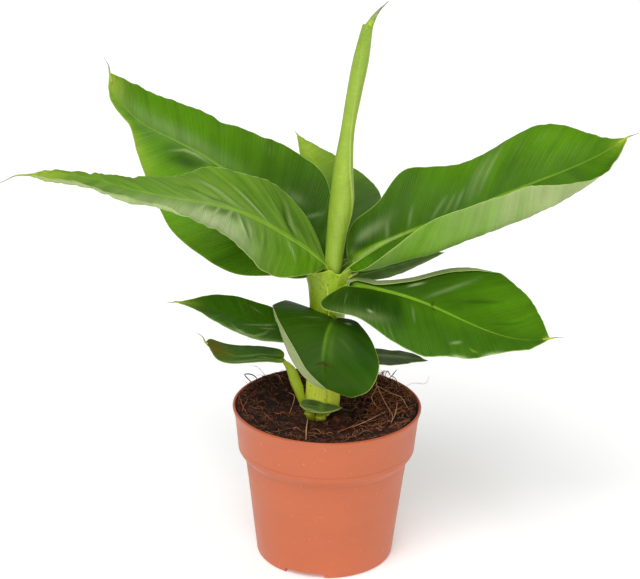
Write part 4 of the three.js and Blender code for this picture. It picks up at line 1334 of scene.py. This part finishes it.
    def scraps(self):
        """Dry bits of torn sheath below the rim."""
        bm, _ = layered("tint")
        shade = mix(tone("stem"), tone("margin"), 0.5)
        for points in SCRAPS:
            add_tube(bm, metres(points), [r * MM for r in SCRAP_RADII], 10, 14, lambda *_: shade)
        finish_piece("stem_scraps", bm, "pseudostem", bpy.data.materials["stem_sheath"])


class PLANT_OT_roll(bpy.types.Operator):
    """The youngest leaf, still rolled up, with its seam and the thread at its tip"""

    bl_idname = "plant.roll"
    bl_label = "Rolled leaf"

    ROUND = 96
    RINGS = 150
    LAP = 0.12
    SEAM_FOOT = 10
    SEAM_TURN = -130
    DRY = (495 * MM, 507 * MM)

    def execute(self, context):
        bm, tint, span = layered("tint", "span")

        def place(u, v, vertex):
            centre, ahead = along_path(ROLL_AXIS, v), ahead_on(ROLL_AXIS, v)
            side = (Vector((1, 0, 0)) - ahead * ahead.x).normalized()
            turn = 2 * math.pi * u
            seam = self.SEAM_FOOT + self.SEAM_TURN * v
            behind = (math.degrees(turn) - seam) % 360
            radius = along(ROLL_RADII, v)
            radius *= 1 + self.LAP * (0.5 - behind / 360) * ease(0, 9, behind)
            vertex[span] = (radius * turn, centre.z, 0)
            pale = 0.5 + 0.5 * noise.noise(Vector((behind / 60, v * 9, 2)))
            colour = mix(tone("roll"), tone("tip"), 0.35 * pale)
            colour = mix(colour, tone("fresh"), 0.2 * ease(0.6, 0.95, v) + 0.1)
            colour = mix(colour, tone("margin"), 0.6 * ease(14, 0, behind))
            vertex[tint] = (*colour, 1.0)
            out = side * math.cos(turn) + ahead.cross(side) * math.sin(turn)
            return (centre + out * radius) * MM

        close_ends(bm, shaped_grid(bm, self.ROUND, self.RINGS, place))
        finish_piece("rolled_leaf_skin", bm, "rolled_leaf", roll_finish())
        bm, _ = layered("tint")
        add_tube(bm, metres(ROLL_THREAD), [r * MM for r in ROLL_THREAD_RADII], 14, 24,
                 lambda spot, v: mix(tone("roll"), tone("thread"), ease(*self.DRY, spot.z)))
        finish_piece("rolled_leaf_tip", bm, "rolled_leaf", fibre_finish())
        return {"FINISHED"}


# Leaves

def bezier(handles, q):
    """The point at share q of the curve that four handles pull."""
    a, b, c, d = handles
    k = 1 - q
    return a * k ** 3 + b * 3 * k * k * q + c * 3 * k * q * q + d * q ** 3


def side_of(s):
    return "left" if s >= 0 else "right"


class LeafShape:
    """One leaf in millimetres: share t from foot to tip, s across from -1 right to 1 left."""

    FINE = 400
    STEPS = 64
    FLAP_TURN = math.radians(168)
    FLAP_ARC = 4.0
    LINE_REACH = 2.5

    def __init__(self, name, sizes):
        self.name = name
        self.sizes = sizes
        self.length = sizes["length"]
        self.seed = float(sorted(LEAVES).index(name)) * 7.3
        self.marks = sizes.get("lines", [])
        self.lines = []
        for _, width, _, _, points in self.marks:
            places = [(t * self.length, s * self.half_width(side_of(s), t)) for t, s in points]
            reach = [(min(p) - self.LINE_REACH * width, max(p) + self.LINE_REACH * width)
                     for p in zip(*places)]
            self.lines.append((places, reach))
        self.run = [Vector(sizes["foot"])]
        for i in range(self.FINE):
            a = direction(*self.angles(i / self.FINE))
            b = direction(*self.angles((i + 1) / self.FINE))
            self.run.append(self.run[-1] + (a + b) * (0.5 * self.length / self.FINE))

    def angles(self, t):
        return along(self.sizes["heading"], t), along(self.sizes["rise"], t)

    @functools.lru_cache(maxsize=None)
    def axes(self, t):
        """Place on the midrib, forward, left and up."""
        x = clamp(t) * self.FINE
        i = min(int(x), self.FINE - 1)
        heading, rise = self.angles(t)
        forward = direction(heading, rise)
        left = level(math.radians(heading + 90))
        return self.run[i].lerp(self.run[i + 1], x - i), forward, left, forward.cross(left)

    @functools.lru_cache(maxsize=None)
    def flap(self, side, t):
        """Width of the margin that has turned over."""
        return max(along(self.sizes[side].get("flap", [0]), t), 0)

    @functools.lru_cache(maxsize=None)
    def half_width(self, side, t):
        """Width of one half along its bent section, rounded off at the foot."""
        q = clamp(t / FOOT_ROUNDING)
        width = max(along(self.sizes[side]["width"], t), 0) + self.flap(side, t)
        return width * math.sqrt(1 - (1 - q) ** 2)

    @functools.lru_cache(maxsize=None)
    def vein_place(self, s, t):
        """How far down the leaf the vein starts that passes through a point."""
        lean = self.sizes[side_of(s)].get("lean", VEIN_LEAN)
        return t * self.length - lean * abs(s) * self.half_width(side_of(s), t)

    @functools.lru_cache(maxsize=None)
    def closeness(self, s, t):
        """For each of the leaf's lines 1 on the line, falling to 0 beside it and at its ends."""
        place = (t * self.length, s * self.half_width(side_of(s), t))
        shares = []
        for (_, width, *_), (points, reach) in zip(self.marks, self.lines):
            if all(low < value < high for value, (low, high) in zip(place, reach)):
                off, way = off_line(*place, points)
                fading = 0.15 + 0.85 * math.sin(math.pi * way)
                shares.append(math.exp(-(off / width) ** 2) * fading)
            else:
                shares.append(0.0)
        return shares

    @functools.lru_cache(maxsize=None)
    def rib(self, t):
        """Half width of the midrib."""
        return self.sizes["stalk_radius"] * along(self.sizes.get("rib", RIB_SHARES), t)

    @functools.lru_cache(maxsize=None)
    def section(self, side, t):
        """Level reach, lift and slope of the bent section at even shares across."""
        half = self.sizes[side]
        fold = math.radians(along(half["fold"], t))
        curl = math.radians(along(half.get("curl", [0]), t))
        start, end = half.get("bend", (0, 1))
        flap, width = self.flap(side, t), self.half_width(side, t)
        arc_share = self.FLAP_ARC / max(width, self.FLAP_ARC)
        turn_at = 1 - flap / max(width, 1) - arc_share / 2
        rows = [(0.0, 0.0, fold)]
        for i in range(self.STEPS):
            share = (i + 0.5) / self.STEPS
            slope = fold + curl * clamp((share - start) / (end - start))
            slope += self.FLAP_TURN * ease(0, 3, flap) * ease(0, arc_share, share - turn_at)
            reach, lift, _ = rows[-1]
            rows.append((reach + math.cos(slope) / self.STEPS,
                         lift + math.sin(slope) / self.STEPS, slope))
        return rows

    def point(self, s, t):
        """Place and outward normal of the upper surface, without the fine relief."""
        side, share = side_of(s), abs(s)
        width = self.half_width(side, t)
        rows = self.section(side, t)
        x = share * self.STEPS
        i = min(int(x), self.STEPS - 1)
        reach, lift, slope = mix(rows[i], rows[i + 1], x - i)
        place, forward, left, up = self.axes(t)
        aside = left if s >= 0 else -left
        sweep = along(self.sizes[side].get("sweep", SWEEP), t)
        place = place + (aside * reach + up * lift + forward * (share * sweep)) * width
        return place, up * math.cos(slope) - aside * math.sin(slope)

    def ripple(self, down, across, lane):
        """Smooth noise along the veins; each lane, positive or negative, has its own."""
        return noise.noise(Vector((down, across + lane, self.seed)))

    def relief(self, s, t):
        """Fine folds along the veins, waves at the margin and the groove of the midrib."""
        half = 1.0 if s >= 0 else 2.0
        share = abs(s)
        down = self.vein_place(s, t)
        ends = ease(0.0, 0.06, t) * ease(0.0, 0.08, 1 - t)
        folds = self.ripple(down / 6.5, share * 1.2, 5 * half)
        folds += 0.6 * self.ripple(down / 14, share * 0.8, -5 * half)
        waves = self.ripple(down / 17, 0, 9 * half) + 0.5 * self.ripple(down / 7, 0, -9 * half)
        height = self.sizes["pleat"] * folds * ease(0.02, 0.3, share) * ends
        height += self.sizes["wave"] * 1.6 * waves * ease(0.6, 1.0, share) * ends
        for (_, _, _, lift, _), near in zip(self.marks, self.closeness(s, t)):
            height += lift * near
        rib = self.rib(t)
        depth = rib * blend(0.62, 0.12, ease(0.0, 0.12, t))
        off = share * self.half_width(side_of(s), t) / rib
        return height - depth * max(0.0, 1 - off * off) * ease(0.0, 0.02, 1 - t)

    def colour(self, s, t, face):
        """Blend of a face's two tones, streaked along the veins, with its spots and lines."""
        half = 1.0 if s >= 0 else 2.0
        share = 0.5 + 0.55 * self.ripple(self.vein_place(s, t) / 11, abs(s) * 0.7, 3 * half)
        share = share * 0.55 + 0.25 * abs(s)
        if face == "under":
            share += 1.1 * (ease(0.2, 0.8, t) - 0.35)
        first, second = self.sizes[face]
        colour = mix(tone(first), tone(second), clamp(share))
        # Spots and lines paint shade and sheen as well as the leaf's own colours and marks.
        for name, t0, s0, dt, ds, strength in self.sizes["spots"]:
            near = ((t - t0) / dt) ** 2 + ((s - s0) / ds) ** 2
            colour = mix(colour, tone(name), strength * math.exp(-near))
        off = abs(s) * self.half_width(side_of(s), t) / self.rib(t)
        bright = 0.85 * ease(1.3, 0.5, off) * (1 - 0.7 * t * t) * ease(0.0, 0.04, t)
        colour = mix(colour, tone(self.sizes.get("rib_tone", "rib")), bright)
        if face == "tones":
            for (name, _, strength, _, _), near in zip(self.marks, self.closeness(s, t)):
                if near:
                    colour = mix(colour, tone(name), strength * near)
        return colour


# Leaves shorter than this have fewer faces
LARGE_LEAF = 190
SMALL_LEAF = 100
FEWEST_ROWS = 90


def build_blade(leaf, settings, finishes):
    """The blade as one thin sheet with its relief, thickened at the end."""
    rows = max(FEWEST_ROWS, int(settings.rows * min(1.0, leaf.length / LARGE_LEAF)))
    columns = settings.columns
    if any("flap" in leaf.sizes[side] for side in ("left", "right")):
        columns *= 2
    elif leaf.length <= SMALL_LEAF:
        columns = 2 * int(columns * 0.36)
    bm, tint, under, span = layered("tint", "tint_under", "span")

    def place(u, v, vertex):
        t = 0.2 * (1 - math.cos(math.pi * v)) + 0.6 * v
        s = math.copysign(abs(1 - 2 * u) ** 1.5, 1 - 2 * u)
        width = leaf.half_width(side_of(s), t)
        spot, normal = leaf.point(s, t)
        vertex[span] = (s * width, leaf.vein_place(s, t), (1 - abs(s)) * width)
        vertex[tint] = (*leaf.colour(s, t, "tones"), 1.0)
        vertex[under] = (*leaf.colour(s, t, "under"), 1.0)
        return (spot + normal * leaf.relief(s, t)) * MM

    shaped_grid(bm, columns, rows, place)
    bmesh.ops.remove_doubles(bm, verts=bm.verts, dist=1e-6)
    piece = finish_piece(leaf.name + "_blade", bm, leaf.name, *finishes)
    solid = piece.modifiers.new("thickness", "SOLIDIFY")
    solid.thickness = settings.thickness
    solid.offset = -1
    solid.material_offset = 1
    solid.material_offset_rim = 2


STALK_STEPS = 8
# Half angles in degrees to which the gutter of a leafstalk and the midrib are open
STALK_OPENING = 82
RIB_OPENING = 84
# Faces of a gutter across its outside, and again across its inside
GUTTER = 24
STALK_RINGS = 90
STALK_SHARE = 0.4
# How far down a leafstalk lies before the blade, as its span attribute counts it
STALK_SPAN = 60


def stalk_run(leaf, facing):
    """Path of the keel up to the blade, with its radii, openings and where it turns."""
    sizes = leaf.sizes
    foot, forward, _, up = leaf.axes(0.0)
    radius = sizes["stalk_radius"]
    keel_end = foot - up * radius
    if "path" in sizes:
        path = [Vector(p) for p in sizes["path"]] + [keel_end]
        return path, sizes["radii"], sizes["openings"], (0.35, 1.0)
    height = sizes["stalk"]
    share = clamp((height - STEM_AXIS[0][2]) / (STEM_AXIS[-1][2] - STEM_AXIS[0][2]))
    base_radius = along(STEM_RADII, share) - 1.0
    keel_start = Vector((-1.5, 0, height)) + direction(facing, 0) * base_radius
    pull = (keel_end - keel_start).length * sizes.get("pull", 0.45)
    handles = (keel_start, keel_start + Vector((0, 0, pull)), keel_end - forward * pull,
               keel_end)
    shares = [k / STALK_STEPS for k in range(STALK_STEPS + 1)]
    return ([bezier(handles, q) for q in shares],
            [blend(base_radius, radius, ease(0.0, 0.85, q)) for q in shares],
            [blend(sizes["wrap"], STALK_OPENING, ease(0.0, 0.9, q)) for q in shares],
            (0.0, 1.0))


def build_stalk(leaf, finish):
    """Sheath, leafstalk and midrib in one: a gutter that narrows and fills to a half round."""
    sizes = leaf.sizes
    heading = sizes["heading"][0]
    facing = heading + (sizes["facing"] - heading + 180) % 360 - 180
    path, radii, openings, turning = stalk_run(leaf, facing)

    def station(v):
        """Centre, left, up, radius, half angle, fill and running length at share v."""
        if v < STALK_SHARE:
            q = v / STALK_SHARE
            ahead = ahead_on(path, q, 0.02)
            turn = math.radians(blend(facing, heading, ease(*turning, q)))
            lift = ahead.cross(level(turn + math.pi / 2)).normalized()
            swell = along(radii, q)
            return (along_path(path, q) + lift * swell, lift.cross(ahead), lift, swell,
                    along(openings, q), 0.0, -STALK_SPAN * (1 - q))
        t = 0.97 * (v - STALK_SHARE) / (1 - STALK_SHARE)
        spot, _, aside, lift = leaf.axes(t)
        thin = leaf.rib(t)
        return (spot - lift * thin * 0.15 * ease(0, 0.1, t), aside, lift, thin, RIB_OPENING,
                ease(0.0, 0.12, t), t * leaf.length)

    bm, tint, span = layered("tint", "span")

    def place(u, v, vertex):
        centre, aside, lift, swell, opening, fill, down = station(v)
        half = math.radians(opening)
        step = round(u * 2 * GUTTER) % (2 * GUTTER)
        if step < GUTTER:
            angle = blend(half, -half, step / (GUTTER - 1))
            wall = min(swell * blend(0.16, 0.34, 1 - abs(angle) / half), 1.6)
            out = (aside * math.sin(angle) - lift * math.cos(angle)) * (swell - wall)
            flat = (aside * (math.sin(angle) * 0.96) - lift * math.cos(half)) * swell
            out = out.lerp(flat, fill)
        else:
            angle = blend(-half, half, (step - GUTTER) / (GUTTER - 1))
            out = (aside * math.sin(angle) - lift * math.cos(angle)) * swell
        edge = ease(0.86, 1.0, abs(angle) / half)
        vertex[span] = (angle * swell, down, 0)
        young = mix(tone(sizes.get("stalk_tone", "stem_green")), tone("rib"), ease(-6, 12, down))
        colour = mix(young, tone("under_fresh"), ease(20, 120, down) * 0.7)
        colour = mix(colour, tone(sizes.get("stalk_edge", "margin")), 0.5 * edge)
        vertex[tint] = (*colour, 1.0)
        return (centre + out) * MM

    close_ends(bm, shaped_grid(bm, 2 * GUTTER, STALK_RINGS, place))
    finish_piece(leaf.name + "_stalk", bm, leaf.name, finish)


def build_thread(leaf, finish):
    """The dry thread in which a young leaf ends."""
    path = metres([leaf.axes(0.965)[0], leaf.axes(1.0)[0], *leaf.sizes["thread"]])
    bm, _ = layered("tint")
    add_tube(bm, path, [r * MM for r in THREAD_RADII], 8, 22,
             lambda spot, v: mix(tone("tip"), tone("thread"), ease(0.35, 0.65, v)))
    finish_piece(leaf.name + "_thread", bm, leaf.name, finish)


class PLANT_OT_leaves(bpy.types.Operator):
    """Every leaf: blade, leafstalk with its sheath and midrib, and the thread at its tip"""

    bl_idname = "plant.leaves"
    bl_label = "Leaves"

    def execute(self, context):
        settings = context.scene.plant.leaf
        blade_finishes = [leaf_finish("leaf_top", "tint", 0.4, 0.32),
                          leaf_finish("leaf_under", "tint_under", 0.5, 0.24), edge_finish()]
        stalk = stalk_finish()
        thread = thread_finish()
        for name, sizes in LEAVES.items():
            leaf = LeafShape(name, sizes)
            build_blade(leaf, settings, blade_finishes)
            build_stalk(leaf, stalk)
            if "thread" in sizes:
                build_thread(leaf, thread)
        return {"FINISHED"}


# Studio

class PLANT_OT_studio(bpy.types.Operator):
    """Camera, pale floor and soft light"""

    bl_idname = "plant.studio"
    bl_label = "Studio"

    # name, direction the light comes from, strength, and how wide the lamp looks in degrees
    LAMPS = [
        ("key_light", (-0.3, -0.7, 1.0), 2.0, 40),
        ("front_light", (0.15, -1.0, 0.35), 0.7, 50),
        ("right_light", (1.0, -0.2, 0.7), 0.35, 60),
    ]
    FLOOR_SIZE = 14.0
    FLOOR_GLOW = 0.2
    # Strength of the sky in front and behind, as shares of the even light
    SKY_SHARES = (0.35, 1.9)

    def execute(self, context):
        studio = context.scene.plant.studio
        self.camera(context, studio)
        self.floor(studio)
        self.lights(context)
        self.sky(context, studio)
        context.scene.view_settings.view_transform = "Standard"
        return {"FINISHED"}

    def camera(self, context, studio):
        lens = bpy.data.cameras.new("camera")
        lens.lens = studio.camera_lens
        lens.sensor_width = 36
        lens.clip_start, lens.clip_end = 0.05, 20
        camera = bpy.data.objects.new("camera", lens)
        context.scene.collection.objects.link(camera)
        turn = (Matrix.Rotation(math.pi / 2 - studio.camera_pitch, 4, "X")
                @ Matrix.Rotation(studio.camera_roll, 4, "Z"))
        camera.matrix_world = Matrix.Translation(studio.camera_place) @ turn
        context.scene.camera = camera

    def floor(self, studio):
        bm = bmesh.new()
        bmesh.ops.create_grid(bm, x_segments=8, y_segments=8, size=self.FLOOR_SIZE)
        floor = new_object("floor", bm)
        paper = Finish("floor_paper", 0.8, specular=0.2)
        grain = paper.noise(paper.place(), 40.0, 3.0)
        shade = tuple(studio.floor)
        paper.colour(paper.mixed(grain, shade, tuple(c * 0.985 for c in shade)))
        paper.shader.inputs["Emission Color"].default_value = (1, 1, 1, 1)
        paper.shader.inputs["Emission Strength"].default_value = self.FLOOR_GLOW
        floor.data.materials.append(paper.material)

    def lights(self, context):
        for name, place, strength, width in self.LAMPS:
            lamp = bpy.data.lights.new(name, "SUN")
            lamp.energy = strength
            lamp.angle = math.radians(width)
            holder = bpy.data.objects.new(name, lamp)
            holder.location = place
            holder.rotation_euler = (-Vector(place)).to_track_quat("-Z", "Y").to_euler()
            holder.visible_glossy = name == "key_light"
            context.scene.collection.objects.link(holder)

    def sky(self, context, studio):
        """Even white light, weaker from the side of the camera."""
        world = bpy.data.worlds.new("studio")
        context.scene.world = world
        world.use_nodes = True
        nodes, links = world.node_tree.nodes, world.node_tree.links
        sky = nodes["Background"]
        sky.inputs["Color"].default_value = (1, 1, 1, 1)
        depth = nodes.new("ShaderNodeSeparateXYZ")
        links.new(nodes.new("ShaderNodeTexCoord").outputs["Generated"], depth.inputs[0])
        rising = nodes.new("ShaderNodeMapRange")
        front, back = (studio.sky * share for share in self.SKY_SHARES)
        for socket, value in zip(rising.inputs[1:5], (-1.0, 1.0, front, back)):
            socket.default_value = value
        links.new(depth.outputs["Y"], rising.inputs[0])
        links.new(rising.outputs[0], sky.inputs["Strength"])


class PLANT_PT_panel(bpy.types.Panel):
    """Buttons for every piece of the plant"""

    bl_label = "Potted banana plant"
    bl_idname = "PLANT_PT_panel"
    bl_space_type = "VIEW_3D"
    bl_region_type = "UI"
    bl_category = "Plant"

    def draw(self, context):
        layout = self.layout
        for operator in OPERATORS:
            layout.operator(operator.bl_idname)
        plant = context.scene.plant
        for group in (plant.pot, plant.soil, plant.leaf, plant.colours, plant.studio):
            box = layout.box()
            for name in group.__annotations__:
                box.prop(group, name)


OPERATORS = [PLANT_OT_studio, PLANT_OT_pot, PLANT_OT_soil, PLANT_OT_fibres, PLANT_OT_stem,
             PLANT_OT_roll, PLANT_OT_leaves]
CLASSES = [PotSizes, SoilSizes, LeafSizes, PlantColours, StudioSettings, PlantSettings,
           *OPERATORS, PLANT_PT_panel]


def register():
    for cls in CLASSES:
        bpy.utils.register_class(cls)
    bpy.types.Scene.plant = PointerProperty(type=PlantSettings)


def unregister():
    del bpy.types.Scene.plant
    for cls in reversed(CLASSES):
        bpy.utils.unregister_class(cls)


def main():
    register()
    bpy.ops.plant.studio()
    bpy.ops.plant.pot()
    bpy.ops.plant.soil()
    bpy.ops.plant.fibres()
    bpy.ops.plant.stem()
    bpy.ops.plant.roll()
    bpy.ops.plant.leaves()


if __name__ == "__main__":
    main()
